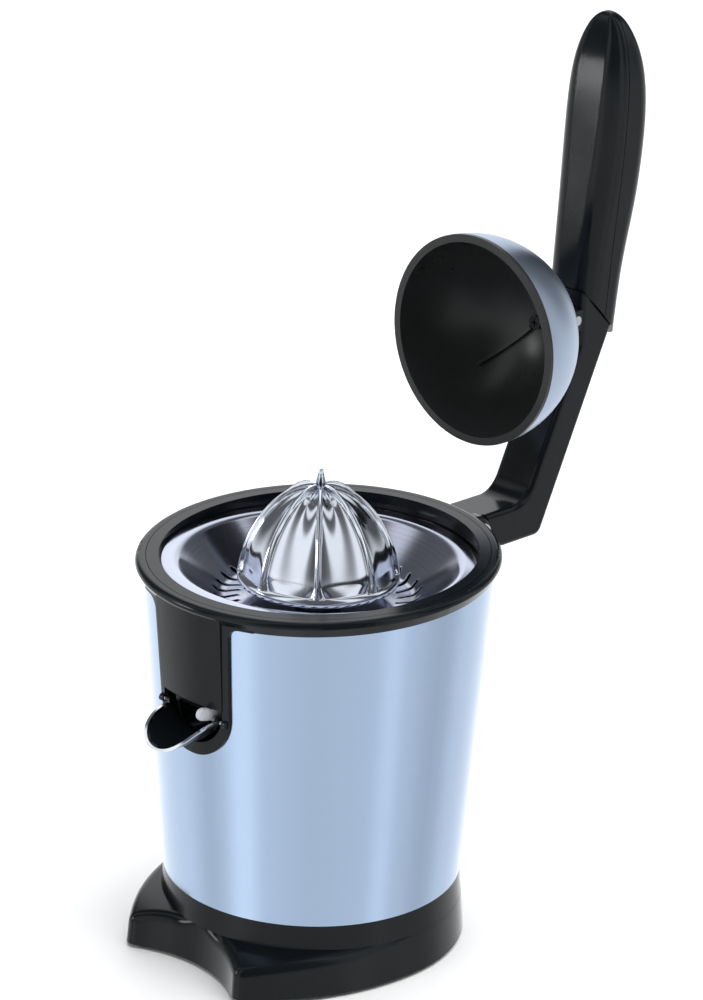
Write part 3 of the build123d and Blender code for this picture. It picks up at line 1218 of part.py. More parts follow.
def make_cup_liner():
    """Black liner with a rim over the dome's edge and low ribs inside."""
    out_r = CUP_R - CUP_T - FIT
    in_r = out_r - LINER_T
    liner = bowl_solid(out_r, 0) - bowl_solid(in_r, 0)
    rim = bowl_solid(CUP_R, 0) - bowl_solid(CUP_R, LINER_RIM - FIT) - bowl_solid(in_r, 0)
    fin_room = bowl_solid(in_r + FIT, 0) - bowl_solid(in_r - FIN_PROUD, 0)
    for i in range(LINER_FINS):
        blade = Pos(0, CUP_Y, CUP_Z) * Rot(-90, 0, 0) * Rot(0, 0, FIN_TURN + i * 360 / LINER_FINS) * Pos(
            HEAD_R + FIN_GAP, 0, FIN_END * CUP_R
        ) * Box(CUP_R, FIN_W, CUP_R, align=(Align.MIN, Align.CENTER, Align.MIN))
        liner += fin_room & blade
    hole = Pos(0, CUP_Y, CUP_Z) * Rot(-90, 0, 0) * Cylinder(SCREW_R + FIT, FAR, align=UP)
    return liner + rim - hole


def make_cup_knuckle():
    """Plate and knuckle behind the dome, pinned to the lever."""
    plate_end = CUP_R + BOSS_PLATE_T
    plate = Pos(0, CUP_Y, CUP_Z) * Rot(-90, 0, 0) * Cylinder(BOSS_PLATE_R, plate_end, align=UP)
    plate -= bowl_solid(CUP_R + PRESS, 0)
    lug = Pos(0, CUP_Y + CUP_R, CUP_Z) * Box(
        KNUCKLE_W, PIVOT_Y - CUP_Y - CUP_R, 2 * KNUCKLE_R, align=(Align.CENTER, Align.MIN, Align.CENTER)
    )
    lug += crossbar(KNUCKLE_R, -KNUCKLE_W / 2, KNUCKLE_W, PIVOT_Y, CUP_Z)
    knuckle = plate + lug - bowl_solid(CUP_R + PRESS, 0)
    knuckle -= crossbar(KNUCKLE_PIN_R + RUN, -FAR / 2, FAR, PIVOT_Y, CUP_Z)
    bore = Pos(0, CUP_Y, CUP_Z) * Rot(-90, 0, 0) * Cylinder(SCREW_R + PRESS, CUP_R + KNUCKLE_R / 2, align=UP)
    return knuckle - bore


def make_cup_screw():
    """Centre screw that holds liner, dome and knuckle together."""
    in_r = CUP_R - CUP_T - FIT - LINER_T
    length = CUP_R - in_r + KNUCKLE_R / 2 - FIT
    return Pos(0, CUP_Y + in_r - HEAD_H - FIT, CUP_Z) * Rot(90, 0, 0) * screw(length)


def make_cup_pin():
    """Pin of the cup's knuckle, held by the lever's ears."""
    width = KNUCKLE_W + 2 * (CUP_EAR_T + FIT)
    return crossbar(KNUCKLE_PIN_R, -width / 2, width, PIVOT_Y, CUP_Z)


def build():
    """All pieces by node name."""
    return {
        "base_shell": make_base_shell(),
        "bottom_plate": make_bottom_plate(),
        "foot_ring": make_foot_ring(),
        "toe_pads": make_toe_pads(),
        "cord_gland": make_cord_gland(),
        "steel_sleeve": make_steel_sleeve(),
        "top_collar": make_top_collar(),
        "spout_pegs": make_spout_pegs(),
        "spout_trough": make_spout_trough(),
        "spout_lip": make_spout_lip(),
        "juice_tray": make_juice_tray(),
        "upper_bush": make_upper_bush(),
        "spindle_seal": make_spindle_seal(),
        "strainer_bowl": make_strainer_bowl(),
        "reamer_cone": make_reamer_cone(),
        "cone_core": make_cone_core(),
        "drive_spindle": make_drive_spindle(),
        "thrust_plate": make_thrust_plate(),
        "return_spring": make_return_spring(),
        "microswitch": make_microswitch(),
        "switch_plunger": make_switch_plunger(),
        "motor_pinion": make_motor_pinion(),
        "idler_gear": make_idler_gear(),
        "idler_pin": make_idler_pin(),
        "output_gear": make_output_gear(),
        "gearbox_base": make_gearbox_base(),
        "gearbox_cover": make_gearbox_cover(),
        "motor_can": make_motor_can(),
        "motor_end_cap": make_motor_end_cap(),
        "motor_bearings": make_motor_bearings(),
        "motor_magnets": make_motor_magnets(),
        "rotor_core": make_rotor_core(),
        "motor_shaft": make_motor_shaft(),
        "motor_fan": make_motor_fan(),
        "plate_screws": make_plate_screws(),
        "leg_screws": make_leg_screws(),
        "gearbox_screws": make_gearbox_screws(),
        "lever_arm": make_lever_arm(),
        "handle_front": make_handle_front(),
        "handle_back": make_handle_back(),
        "hinge_pin": make_hinge_pin(),
        "hinge_bushes": make_hinge_bushes(),
        "cup_dome": make_cup_dome(),
        "cup_liner": make_cup_liner(),
        "cup_knuckle": make_cup_knuckle(),
        "cup_screw": make_cup_screw(),
        "cup_pin": make_cup_pin(),
    }


os.makedirs("parts", exist_ok=True)
for name, piece in build().items():
    export_step(piece, "parts/" + name + ".step")
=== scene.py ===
"""Looks of an electric citrus juicer with a press lever, on a plain pale floor."""
import math

import bpy
import numpy as np
from mathutils import Matrix, Vector


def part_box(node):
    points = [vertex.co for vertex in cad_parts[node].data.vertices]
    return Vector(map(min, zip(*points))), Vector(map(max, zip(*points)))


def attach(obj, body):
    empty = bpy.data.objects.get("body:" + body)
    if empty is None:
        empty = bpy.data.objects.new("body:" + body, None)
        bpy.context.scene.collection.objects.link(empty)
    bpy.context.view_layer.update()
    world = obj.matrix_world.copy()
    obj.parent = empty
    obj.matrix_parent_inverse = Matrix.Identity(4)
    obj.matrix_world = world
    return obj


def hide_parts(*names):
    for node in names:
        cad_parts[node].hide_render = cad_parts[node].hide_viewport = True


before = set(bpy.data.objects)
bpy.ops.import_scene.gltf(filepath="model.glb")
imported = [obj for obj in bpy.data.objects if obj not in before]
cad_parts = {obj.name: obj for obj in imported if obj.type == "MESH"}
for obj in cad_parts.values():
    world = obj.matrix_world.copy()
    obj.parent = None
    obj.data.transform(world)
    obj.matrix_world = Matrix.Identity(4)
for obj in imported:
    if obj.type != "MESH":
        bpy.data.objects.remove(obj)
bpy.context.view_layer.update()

MM = 0.001

# Camera, worked out from the rim, sleeve and spike of the object in the picture
CAMERA_TURN = math.radians(45.5)      # round the juicer from its spout, toward its right side
CAMERA_DISTANCE = 1.49595             # from the juicer's axis, measured level
CAMERA_HEIGHT = 0.770105
CAMERA_YAW = 0.009747
CAMERA_PITCH = 0.352376
CAMERA_ROLL = 0.02797
CAMERA_LENS = 122.4
CAMERA_FAR = 20.0

# Reamer cone
RIBS = 8
RIB_PROUD = 2.4 * MM                  # height of a rib above its panels
RIB_HALF = 0.5 * MM                   # half the width of a rib's crest
RIB_FLANK = 0.7 * MM                  # width of a rib's flank
RIB_FOOT = 1.9 * MM                   # extra width of a rib where it runs into the brim
RIB_FOOT_SHARE = 0.16                 # share of the dome's height over which a rib widens
RIB_FOOT_CREST = 0.4                  # share of that widening that goes to the crest
FLUTE = 1.5 * MM                      # depth of the hollow between two ribs
FLUTE_RISE = 0.12                     # share of the dome's height at which a flute is full
FLUTE_FADE = 0.35                     # share of the dome's radius inside which a flute shallows
CONE_H = 44.0 * MM
BRIM_H = 4.4 * MM
BRIM_ROUND = 1.5 * MM
SPIKE_R = 2.6 * MM
SPIKE_TOP_R = 1.1 * MM
SPIKE_ROUND = 0.8 * MM
SPIKE_SINK = 0.4 * MM                 # depth of the spike's foot under the dome's top
CONE_WALL = 3.0 * MM
HOLLOW_WAIST = (0.86, 0.35)           # shares of the hollow's mouth and of the dome's height
HOLLOW_CEILING = (0.6, 0.363)
TOP_POLE_R = 0.15 * MM                # first and last rows, round the two poles
CEILING_POLE_R = 0.4 * MM
DOME = ((1.0, 0.0), (0.955, 0.19), (0.83, 0.48), (0.66, 0.707), (0.37, 0.93), (0.06, 1.0))
DOME_ROWS = 90
RIB_COLUMNS = 32
RIB_EVEN = 0.22                       # share of the columns' spacing that is even
RIB_CROWDING = 2.2                    # power that draws the rest toward a crest

# Strainer bowl
SHEET = 0.8 * MM
RIM_W = 7.5 * MM
FLOOR_R = 46.0 * MM
BOWL_DEPTH = 19.3 * MM
HOLE_R = 13.5 * MM
HOLE_LIP = 2.5 * MM
BEND = 2.4 * MM                       # rounding of the sheet's bends
SLOTS = 36
SLOT_W = 2.0 * MM
SLOT_REACH = (37.5 * MM, 50.0 * MM)   # from and to these distances from the axis
SLOT_SKEW = math.radians(25.0)
SLOT_COLUMNS = 7
GAP_COLUMNS = 8
BOWL_ROWS = 64

# Studio walls: brightness round the juicer, by degrees to the right of the camera
LOW_WALL = (
    (-180, 0.95), (-110, 0.78), (-82, 0.58), (-72, 0.66), (-57, 0.94), (-50, 0.94), (-36, 0.70), (0, 0.63),
    (40, 0.66), (55, 0.84), (68, 0.66), (95, 0.52), (120, 0.72), (180, 0.95),
)
HIGH_WALL = (
    (-180, 0.95), (-164, 0.85), (-146, 0.10), (-118, 0.08), (-108, 0.66), (-98, 0.66), (-88, 0.08),
    (-74, 0.16), (-62, 0.74), (-48, 0.74), (-36, 0.16), (-24, 0.08), (24, 0.08), (36, 0.12), (48, 0.70),
    (62, 0.70), (74, 0.12), (88, 0.06), (98, 0.66), (108, 0.66), (118, 0.06), (146, 0.10), (164, 0.80),
    (180, 0.95),
)
WALL_LEVEL = 1.55
WALL_TINT = (0.97, 0.985, 1.0)
WALL_BLEND = (-0.20, 0.20)            # sines of the rise between which the low wall turns to the high one

# Broad light from above, and a small soft light left of the camera, level with the handle
ABOVE_LEVEL = 3.4
ABOVE_SPREAD = math.radians(70)
ABOVE_LEAN = (math.radians(-12), math.radians(10))
SIDE_LEVEL = 2.6
SIDE_TURN = math.radians(-86)
SIDE_REACH = 1.3
SIDE_HEIGHT = 0.40
SIDE_SIZE = 0.36

FLOOR_REACH = 16.0
FLOOR_CELLS = 8
FLOOR_TONES = ((0.90, 0.90, 0.90), (0.92, 0.92, 0.92))

# Finishes
NOISE_SPAN = (0.3, 0.7)               # where most of a noise's values lie
SKIN_DEPTH = 0.05 * MM
LINE_DEPTH = 0.02 * MM

# Plastics and rubber: dark and light tone, smooth and dull roughness, grain, relief, shine
MOULDINGS = {
    "black_gloss": ((0.004, 0.0055, 0.007), (0.006, 0.008, 0.010), 0.12, 0.20, 2500, 0.10, 0.20),
    "black_satin": ((0.016, 0.017, 0.017), (0.023, 0.025, 0.026), 0.26, 0.38, 1800, 0.15, 0.30),
    "inner_plastic": ((0.05, 0.05, 0.052), (0.07, 0.07, 0.072), 0.40, 0.55, 1500, 0.25, 0.50),
    "gear_plastic": ((0.72, 0.70, 0.64), (0.80, 0.78, 0.72), 0.32, 0.45, 1500, 0.10, 0.50),
    "grey_plastic": ((0.52, 0.54, 0.57), (0.60, 0.62, 0.65), 0.22, 0.32, 2200, 0.08, 0.50),
    "switch_red": ((0.42, 0.03, 0.02), (0.52, 0.05, 0.03), 0.28, 0.40, 2000, 0.10, 0.50),
    "rubber": ((0.012, 0.012, 0.012), (0.024, 0.024, 0.024), 0.60, 0.80, 1200, 0.40, 0.50),
    "magnet": ((0.035, 0.034, 0.033), (0.055, 0.054, 0.052), 0.50, 0.70, 900, 0.40, 0.50),
}

# Metals: dark and light tone, smooth and dull roughness, turned lines, relief, drawn-out highlight
METALS = {
    "sleeve_steel": ((0.385, 0.490, 0.650), (0.395, 0.502, 0.665), 0.16, 0.21, 2400, 0.004, 0.0),
    "cup_steel": ((0.430, 0.510, 0.640), (0.445, 0.525, 0.660), 0.36, 0.42, 2400, 0.004, 0.0),
    "bowl_steel": ((0.46, 0.49, 0.60), (0.53, 0.56, 0.68), 0.12, 0.17, 1500, 0.03, 0.4),
    "cone_steel": ((0.66, 0.70, 0.78), (0.71, 0.75, 0.83), 0.09, 0.13, 2600, 0.003, 0.0),
    "lip_bright": ((0.84, 0.86, 0.90), (0.89, 0.91, 0.95), 0.07, 0.12, 2600, 0.02, 0.0),
    "shaft_steel": ((0.50, 0.51, 0.53), (0.60, 0.61, 0.63), 0.18, 0.30, 1800, 0.1, 0.0),
    "screw_steel": ((0.42, 0.42, 0.43), (0.55, 0.55, 0.56), 0.25, 0.40, 2200, 0.15, 0.0),
    "dark_screw": ((0.020, 0.021, 0.023), (0.030, 0.031, 0.033), 0.30, 0.45, 2200, 0.15, 0.0),
    "can_steel": ((0.45, 0.46, 0.47), (0.55, 0.56, 0.57), 0.30, 0.45, 900, 0.1, 0.0),
    "core_iron": ((0.22, 0.21, 0.20), (0.34, 0.33, 0.32), 0.40, 0.60, 2000, 0.4, 0.0),
    "bush_brass": ((0.55, 0.36, 0.16), (0.66, 0.45, 0.22), 0.30, 0.45, 1500, 0.2, 0.0),
}
OWN_FINISH = {"cup_screw": "dark_screw"}


# Meshes


def put_mesh(name, points, quads, tris=None):
    """An object at the origin from an array of points and arrays of corner numbers."""
    tris = np.zeros((0, 3), int) if tris is None else tris
    corners = np.concatenate([quads.ravel(), tris.ravel()])
    starts = np.concatenate([np.arange(len(quads)) * 4, len(quads) * 4 + np.arange(len(tris)) * 3])
    mesh = bpy.data.meshes.new(name)
    mesh.vertices.add(len(points))
    mesh.vertices.foreach_set("co", points.ravel())
    mesh.loops.add(len(corners))
    mesh.loops.foreach_set("vertex_index", corners)
    mesh.polygons.add(len(starts))
    mesh.polygons.foreach_set("loop_start", starts)
    mesh.polygons.foreach_set("use_smooth", np.ones(len(starts), bool))
    mesh.update(calc_edges=True)
    mesh.validate()
    piece = bpy.data.objects.new(name, mesh)
    bpy.context.scene.collection.objects.link(piece)
    return piece


def round_quads(rows, columns):
    """Corner numbers of a grid that closes on itself along its columns."""
    i, j = np.meshgrid(np.arange(rows - 1), np.arange(columns), indexing="ij")
    k = (j + 1) % columns
    corners = np.stack([i * columns + j, i * columns + k, (i + 1) * columns + k, (i + 1) * columns + j], -1)
    return corners.reshape(-1, 4)


def fan(pole, first, columns):
    """Triangles from a pole to a closed row that starts at first."""
    j = np.arange(columns)
    return np.stack([np.full(columns, pole), first + j, first + (j + 1) % columns], -1)


def rounded_path(corners, radius, steps=7):
    """Points along straight runs whose corners are quadratic curves.

    Each inner corner is left and met at the same distance, and the curve between is
    the blend (1-t)^2 start + 2t(1-t) corner + t^2 end.
    """
    corners = np.array(corners, float)
    before = corners[:-2] - corners[1:-1]
    after = corners[2:] - corners[1:-1]
    room = 0.45 * np.minimum(np.linalg.norm(before, axis=1), np.linalg.norm(after, axis=1))
    reach = np.minimum(room, radius)[:, None]
    start = corners[1:-1] + before / np.linalg.norm(before, axis=1)[:, None] * reach
    end = corners[1:-1] + after / np.linalg.norm(after, axis=1)[:, None] * reach
    t = np.linspace(0, 1, steps)[None, :, None]
    bends = (1 - t) ** 2 * start[:, None] + 2 * t * (1 - t) * corners[1:-1, None] + t**2 * end[:, None]
    return np.concatenate([corners[:1], bends.reshape(-1, 2), corners[-1:]])


def dome_profile(steps):
    """Distance from the axis and height along the dome, as shares, from the top down.

    A polynomial in chord length goes through the dome's few points.
    """
    points = np.array(DOME)
    chord = np.concatenate([[0], np.cumsum(np.linalg.norm(np.diff(points, axis=0), axis=1))])
    t = np.linspace(chord[-1], 0, steps)
    out = np.polyval(np.polyfit(chord, points[:, 0], len(DOME) - 1), t)
    up = np.polyval(np.polyfit(chord, points[:, 1], len(DOME) - 1), t)
    return out, up


def make_fluted_cone():
    """Cone of thin ribs and hollow flutes, with a brim, a spike and a hollow inside.

    The grid runs down the surface and round the axis. On the dome a point lies between
    the panels' dome and the ribs' dome, which is larger by the ribs' height: the share is
    one on a crest, falls as a smooth step over the flank, and dips below zero as a squared
    sine between two ribs. The brim, the underside and the hollow are plain turned rows.
    """
    low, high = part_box("reamer_cone")
    radius = high.x
    base_z = low.z + BRIM_H
    columns = RIBS * RIB_COLUMNS
    # Columns crowd toward each rib: an odd power keeps many of them near its crest
    share = np.linspace(-1, 1, RIB_COLUMNS, endpoint=False)
    crowd = RIB_EVEN * share + (1 - RIB_EVEN) * np.sign(share) * np.abs(share) ** RIB_CROWDING
    turn = (np.arange(RIBS)[:, None] + crowd[None] / 2).ravel() * 2 * math.pi / RIBS
    off_rib = np.abs(np.tile(crowd, RIBS)) * math.pi / RIBS

    out, up = dome_profile(DOME_ROWS)
    crest_r, crest_z = radius * out, base_z + CONE_H * up
    panel_r, panel_z = (radius - RIB_PROUD) * out, base_z + (CONE_H - RIB_PROUD) * up
    foot = RIB_FOOT * (1 - np.clip(up / RIB_FOOT_SHARE, 0, 1))[:, None] ** 2
    away = crest_r[:, None] * np.sin(off_rib)[None]
    ramp = np.clip((away - RIB_HALF - foot * RIB_FOOT_CREST) / (RIB_FLANK + foot), 0, 1)
    rib = 1 - ramp**2 * (3 - 2 * ramp)
    half_way = crest_r[:, None] * math.sin(math.pi / RIBS)
    between = np.clip((away - RIB_HALF) / (half_way - RIB_HALF), 0, 1)
    depth = FLUTE / RIB_PROUD * np.clip(up / FLUTE_RISE, 0, 1) * np.clip(out / FLUTE_FADE, 0, 1)
    mix = rib - depth[:, None] * np.sin(between * math.pi / 2) ** 2 * (1 - rib)
    dome_r = panel_r[:, None] + mix * (crest_r - panel_r)[:, None]
    dome_z = panel_z[:, None] + mix * (crest_z - panel_z)[:, None]

    tip = rounded_path(
        [(TOP_POLE_R, high.z), (SPIKE_TOP_R, high.z), (SPIKE_R, base_z + CONE_H - SPIKE_SINK)], SPIKE_ROUND
    )
    inside = radius - RIB_PROUD - CONE_WALL
    waist = (HOLLOW_WAIST[0] * inside, base_z + HOLLOW_WAIST[1] * CONE_H)
    ceiling = base_z + HOLLOW_CEILING[1] * CONE_H
    below = rounded_path(
        [
            (radius, base_z), (radius, low.z), (inside, low.z), waist,
            (HOLLOW_CEILING[0] * inside, ceiling), (CEILING_POLE_R, ceiling),
        ],
        BRIM_ROUND,
    )
    plain = np.ones(columns)
    rows_r = np.concatenate([tip[:, :1] * plain, dome_r, below[:, :1] * plain])
    rows_z = np.concatenate([tip[:, 1:] * plain, dome_z, below[:, 1:] * plain])
    rows = len(rows_r)
    grid = np.stack([rows_r * np.cos(turn), rows_r * np.sin(turn), rows_z], -1).reshape(-1, 3)
    poles = np.array([(0, 0, high.z), (0, 0, ceiling)])
    top = fan(len(grid), 0, columns)
    bottom = fan(len(grid) + 1, (rows - 1) * columns, columns)[:, ::-1]
    quads = round_quads(rows, columns)[:, ::-1]
    piece = put_mesh("fluted_cone", np.concatenate([grid, poles]), quads, np.concatenate([top, bottom]))
    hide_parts("reamer_cone")
    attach(piece, "cone")
    return piece


def make_drain_bowl():
    """Sheet bowl with a flat rim, rounded bends and slanted drain slots.

    A profile from the rim to the turned-up hole is carried round the axis. The columns
    slant with the logarithm of the distance from the axis, so that a slot is a block of
    the grid that is left out, narrower by steps at its two ends.
    """
    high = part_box("strainer_bowl")[1]
    rim_r = high.x
    floor_z = high.z - BOWL_DEPTH
    corners = [
        (rim_r, high.z), (rim_r - RIM_W, high.z), (FLOOR_R, floor_z),
        (HOLE_R + SHEET, floor_z), (HOLE_R + SHEET, floor_z + HOLE_LIP),
    ]
    path = rounded_path(corners, BEND)
    length = np.concatenate([[0], np.cumsum(np.linalg.norm(np.diff(path, axis=0), axis=1))])
    even = np.linspace(0, length[-1], BOWL_ROWS)
    along = np.unique(np.concatenate([length, even]))
    path_r = np.interp(along, length, path[:, 0])
    path_z = np.interp(along, length, path[:, 1])

    middle_r = sum(SLOT_REACH) / 2
    half = SLOT_W / math.cos(SLOT_SKEW) / 2 / middle_r
    pitch = 2 * math.pi / SLOTS
    slot_columns = np.linspace(-half, half, SLOT_COLUMNS)
    gap_columns = np.linspace(half, pitch - half, GAP_COLUMNS)[1:-1]
    sector = np.concatenate([slot_columns, gap_columns])
    turn = (np.arange(SLOTS)[:, None] * pitch + sector[None]).ravel()
    slant = math.tan(SLOT_SKEW) * np.log(np.clip(path_r, *SLOT_REACH) / middle_r)
    angle = turn[None] + slant[:, None]
    out, up = path_r[:, None], np.broadcast_to(path_z[:, None], angle.shape)
    grid = np.stack([out * np.cos(angle), out * np.sin(angle), up], -1)

    rows, columns = angle.shape
    quads = round_quads(rows, columns)
    row = quads[:, 0] // columns
    column = (quads[:, 0] % columns) % len(sector)
    middle = (path_r[row] + path_r[row + 1]) / 2
    from_end = np.minimum(middle - SLOT_REACH[0], SLOT_REACH[1] - middle)
    full = (SLOT_COLUMNS - 1) / 2
    width = full * np.sqrt(np.clip(from_end / (SLOT_W / 2), 0, 1))
    off_middle = np.abs(column + 0.5 - full)
    in_slot = (column < 2 * full) & (off_middle < width) & (path_z[row] < high.z - RIM_W)
    piece = put_mesh("drain_bowl", grid.reshape(-1, 3), quads[~in_slot])
    wall = piece.modifiers.new("sheet", "SOLIDIFY")
    wall.thickness = SHEET
    wall.offset = -1
    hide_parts("strainer_bowl")
    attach(piece, "strainer")
    return piece


# Shader groups


def new_group(name, inputs, outputs):
    """An empty node group with float inputs at their usual values and the named outputs."""
    group = bpy.data.node_groups.new(name, "ShaderNodeTree")
    for label, value in inputs.items():
        socket = group.interface.new_socket(label, in_out="INPUT", socket_type="NodeSocketFloat")
        socket.default_value = value
    for label in outputs:
        group.interface.new_socket(label, in_out="OUTPUT", socket_type="NodeSocketFloat")
    return group, group.nodes.new("NodeGroupInput"), group.nodes.new("NodeGroupOutput")


def noise_node(tree, detail, rough):
    """Noise with its own detail."""
    node = tree.nodes.new("ShaderNodeTexNoise")
    node.inputs["Detail"].default_value = detail
    node.inputs["Roughness"].default_value = rough
    return node


def math_node(tree, operation, first, second):
    """One operation on two values or links."""
    node = tree.nodes.new("ShaderNodeMath")
    node.operation = operation
    for socket, value in zip(node.inputs, (first, second)):
        if isinstance(value, (int, float)):
            socket.default_value = value
        else:
            tree.links.new(value, socket)
    return node.outputs[0]


def spread(tree, value, low, high):
    """A noise's usual span of values spread over low to high."""
    node = tree.nodes.new("ShaderNodeMapRange")
    node.inputs["From Min"].default_value, node.inputs["From Max"].default_value = NOISE_SPAN
    tree.links.new(value, node.inputs["Value"])
    for label, bound in (("To Min", low), ("To Max", high)):
        if isinstance(bound, (int, float)):
            node.inputs[label].default_value = bound
        else:
            tree.links.new(bound, node.inputs[label])
    return node.outputs["Result"]


def make_handling_group():
    """Faint finger marks: a roughness that drifts between two values, and its mask."""
    group, entry, exit_ = new_group(
        "handling_marks", {"Size": 30.0, "Smooth": 0.1, "Dull": 0.2}, ["Roughness", "Mask"]
    )
    place = group.nodes.new("ShaderNodeTexCoord").outputs["Object"]
    broad = noise_node(group, 5.0, 0.62)
    group.links.new(place, broad.inputs["Vector"])
    group.links.new(entry.outputs["Size"], broad.inputs["Scale"])
    mask = broad.outputs["Fac"]
    drift = spread(group, mask, entry.outputs["Smooth"], entry.outputs["Dull"])
    group.links.new(drift, exit_.inputs["Roughness"])
    group.links.new(spread(group, mask, 0.0, 1.0), exit_.inputs["Mask"])
    return group


def make_grain_group():
    """Moulded skin: a fine pebbled height and a slow drift of tone."""
    group, entry, exit_ = new_group("moulded_grain", {"Grain": 2500.0, "Drift": 18.0}, ["Height", "Tone"])
    place = group.nodes.new("ShaderNodeTexCoord").outputs["Object"]
    fine = noise_node(group, 2.0, 0.5)
    slow = noise_node(group, 3.0, 0.5)
    for node, label in ((fine, "Grain"), (slow, "Drift")):
        group.links.new(place, node.inputs["Vector"])
        group.links.new(entry.outputs[label], node.inputs["Scale"])
    group.links.new(fine.outputs["Fac"], exit_.inputs["Height"])
    group.links.new(spread(group, slow.outputs["Fac"], 0.0, 1.0), exit_.inputs["Tone"])
    return group


def make_turned_group():
    """Fine lines left by turning: noise that changes only with distance from the axis and height."""
    group, entry, exit_ = new_group("turned_lines", {"Lines": 1600.0, "Wander": 0.02}, ["Height", "Tone"])
    place = group.nodes.new("ShaderNodeTexCoord").outputs["Object"]
    parts = group.nodes.new("ShaderNodeSeparateXYZ")
    group.links.new(place, parts.inputs[0])
    x, y, z = parts.outputs
    squares = [math_node(group, "MULTIPLY", side, side) for side in (x, y)]
    away = math_node(group, "SQRT", math_node(group, "ADD", *squares), 0.0)
    across = group.nodes.new("ShaderNodeCombineXYZ")
    group.links.new(math_node(group, "MULTIPLY", away, entry.outputs["Lines"]), across.inputs["X"])
    group.links.new(math_node(group, "MULTIPLY", z, entry.outputs["Lines"]), across.inputs["Y"])
    around = math_node(group, "ARCTAN2", y, x)
    group.links.new(math_node(group, "MULTIPLY", around, entry.outputs["Wander"]), across.inputs["Z"])
    fine = noise_node(group, 3.0, 0.6)
    fine.inputs["Scale"].default_value = 1.0
    group.links.new(across.outputs[0], fine.inputs["Vector"])
    group.links.new(fine.outputs["Fac"], exit_.inputs["Height"])
    group.links.new(spread(group, fine.outputs["Fac"], 0.0, 1.0), exit_.inputs["Tone"])
    return group


HANDLING = make_handling_group()
GRAIN = make_grain_group()
TURNED = make_turned_group()


# Materials


def place_group(tree, group, **values):
    """A group in a material with its own values."""
    node = tree.nodes.new("ShaderNodeGroup")
    node.node_tree = group
    for label, value in values.items():
        node.inputs[label].default_value = value
    return node


def tone_between(tree, factor, dark, light):
    """A colour between two, by a factor that changes over the surface."""
    node = tree.nodes.new("ShaderNodeMix")
    node.data_type = "RGBA"
    node.inputs["A"].default_value = (*dark, 1)
    node.inputs["B"].default_value = (*light, 1)
    tree.links.new(factor, node.inputs["Factor"])
    return node.outputs["Result"]


def bump(tree, height, distance, strength):
    """A normal from a height."""
    node = tree.nodes.new("ShaderNodeBump")
    node.inputs["Distance"].default_value = distance
    node.inputs["Strength"].default_value = strength
    tree.links.new(height, node.inputs["Height"])
    return node.outputs["Normal"]


def new_material(name):
    """A material with a plain Principled shader."""
    material = bpy.data.materials.new(name)
    material.use_nodes = True
    return material, material.node_tree, material.node_tree.nodes["Principled BSDF"]


def moulded(name, dark, light, smooth, dull, grain, relief, shine):
    """Moulded plastic or rubber: drifting tone, finger marks and a fine skin."""
    material, tree, shader = new_material(name)
    skin = place_group(tree, GRAIN, Grain=grain)
    marks = place_group(tree, HANDLING, Smooth=smooth, Dull=dull)
    tree.links.new(tone_between(tree, skin.outputs["Tone"], dark, light), shader.inputs["Base Color"])
    tree.links.new(marks.outputs["Roughness"], shader.inputs["Roughness"])
    tree.links.new(bump(tree, skin.outputs["Height"], SKIN_DEPTH, relief), shader.inputs["Normal"])
    shader.inputs["Specular IOR Level"].default_value = shine
    return material


def turned_metal(name, dark, light, smooth, dull, lines, relief, along):
    """Metal with fine turned lines; along sets how far a highlight is drawn out across them."""
    material, tree, shader = new_material(name)
    cut = place_group(tree, TURNED, Lines=lines)
    marks = place_group(tree, HANDLING, Size=40.0, Smooth=smooth, Dull=dull)
    tree.links.new(tone_between(tree, cut.outputs["Tone"], dark, light), shader.inputs["Base Color"])
    tree.links.new(marks.outputs["Roughness"], shader.inputs["Roughness"])
    tree.links.new(bump(tree, cut.outputs["Height"], LINE_DEPTH, relief), shader.inputs["Normal"])
    shader.inputs["Metallic"].default_value = 1.0
    shader.inputs["Anisotropic"].default_value = along
    return material


def make_finishes():
    """One material for each finish of the juicer, by the record's slot."""
    finishes = {name: moulded(name, *values) for name, values in MOULDINGS.items()}
    finishes.update({name: turned_metal(name, *values) for name, values in METALS.items()})
    return finishes


# Floor, lights and camera


def make_floor():
    """Wide pale floor: a flat grid, kept out of the steel's reflections."""
    material, tree, shader = new_material("pale_floor")
    marks = place_group(tree, HANDLING, Size=3.0, Smooth=0.75, Dull=0.9)
    tree.links.new(tone_between(tree, marks.outputs["Mask"], *FLOOR_TONES), shader.inputs["Base Color"])
    tree.links.new(marks.outputs["Roughness"], shader.inputs["Roughness"])
    line = np.linspace(-FLOOR_REACH, FLOOR_REACH, FLOOR_CELLS + 1)
    across, along = np.meshgrid(line, line, indexing="ij")
    grid = np.stack([across, along, np.zeros_like(across)], -1).reshape(-1, 3)
    i, j = np.meshgrid(np.arange(FLOOR_CELLS), np.arange(FLOOR_CELLS), indexing="ij")
    first, beside = i * len(line) + j, (i + 1) * len(line) + j
    quads = np.stack([first, beside, beside + 1, first + 1], -1).reshape(-1, 4)
    floor = put_mesh("floor", grid, quads)
    floor.data.materials.append(material)
    floor.visible_glossy = False


def wall_ramp(tree, place, stops):
    """Brightness round the room from a list of angles and levels."""
    ramp = tree.nodes.new("ShaderNodeValToRGB")
    ramp.color_ramp.interpolation = "EASE"
    while len(ramp.color_ramp.elements) < len(stops):
        ramp.color_ramp.elements.new(0.5)
    for element, (degrees, level) in zip(ramp.color_ramp.elements, stops):
        element.position = degrees / 360 + 0.5
        element.color = (*(level * part for part in WALL_TINT), 1)
    tree.links.new(place, ramp.inputs["Fac"])
    return ramp.outputs["Color"]


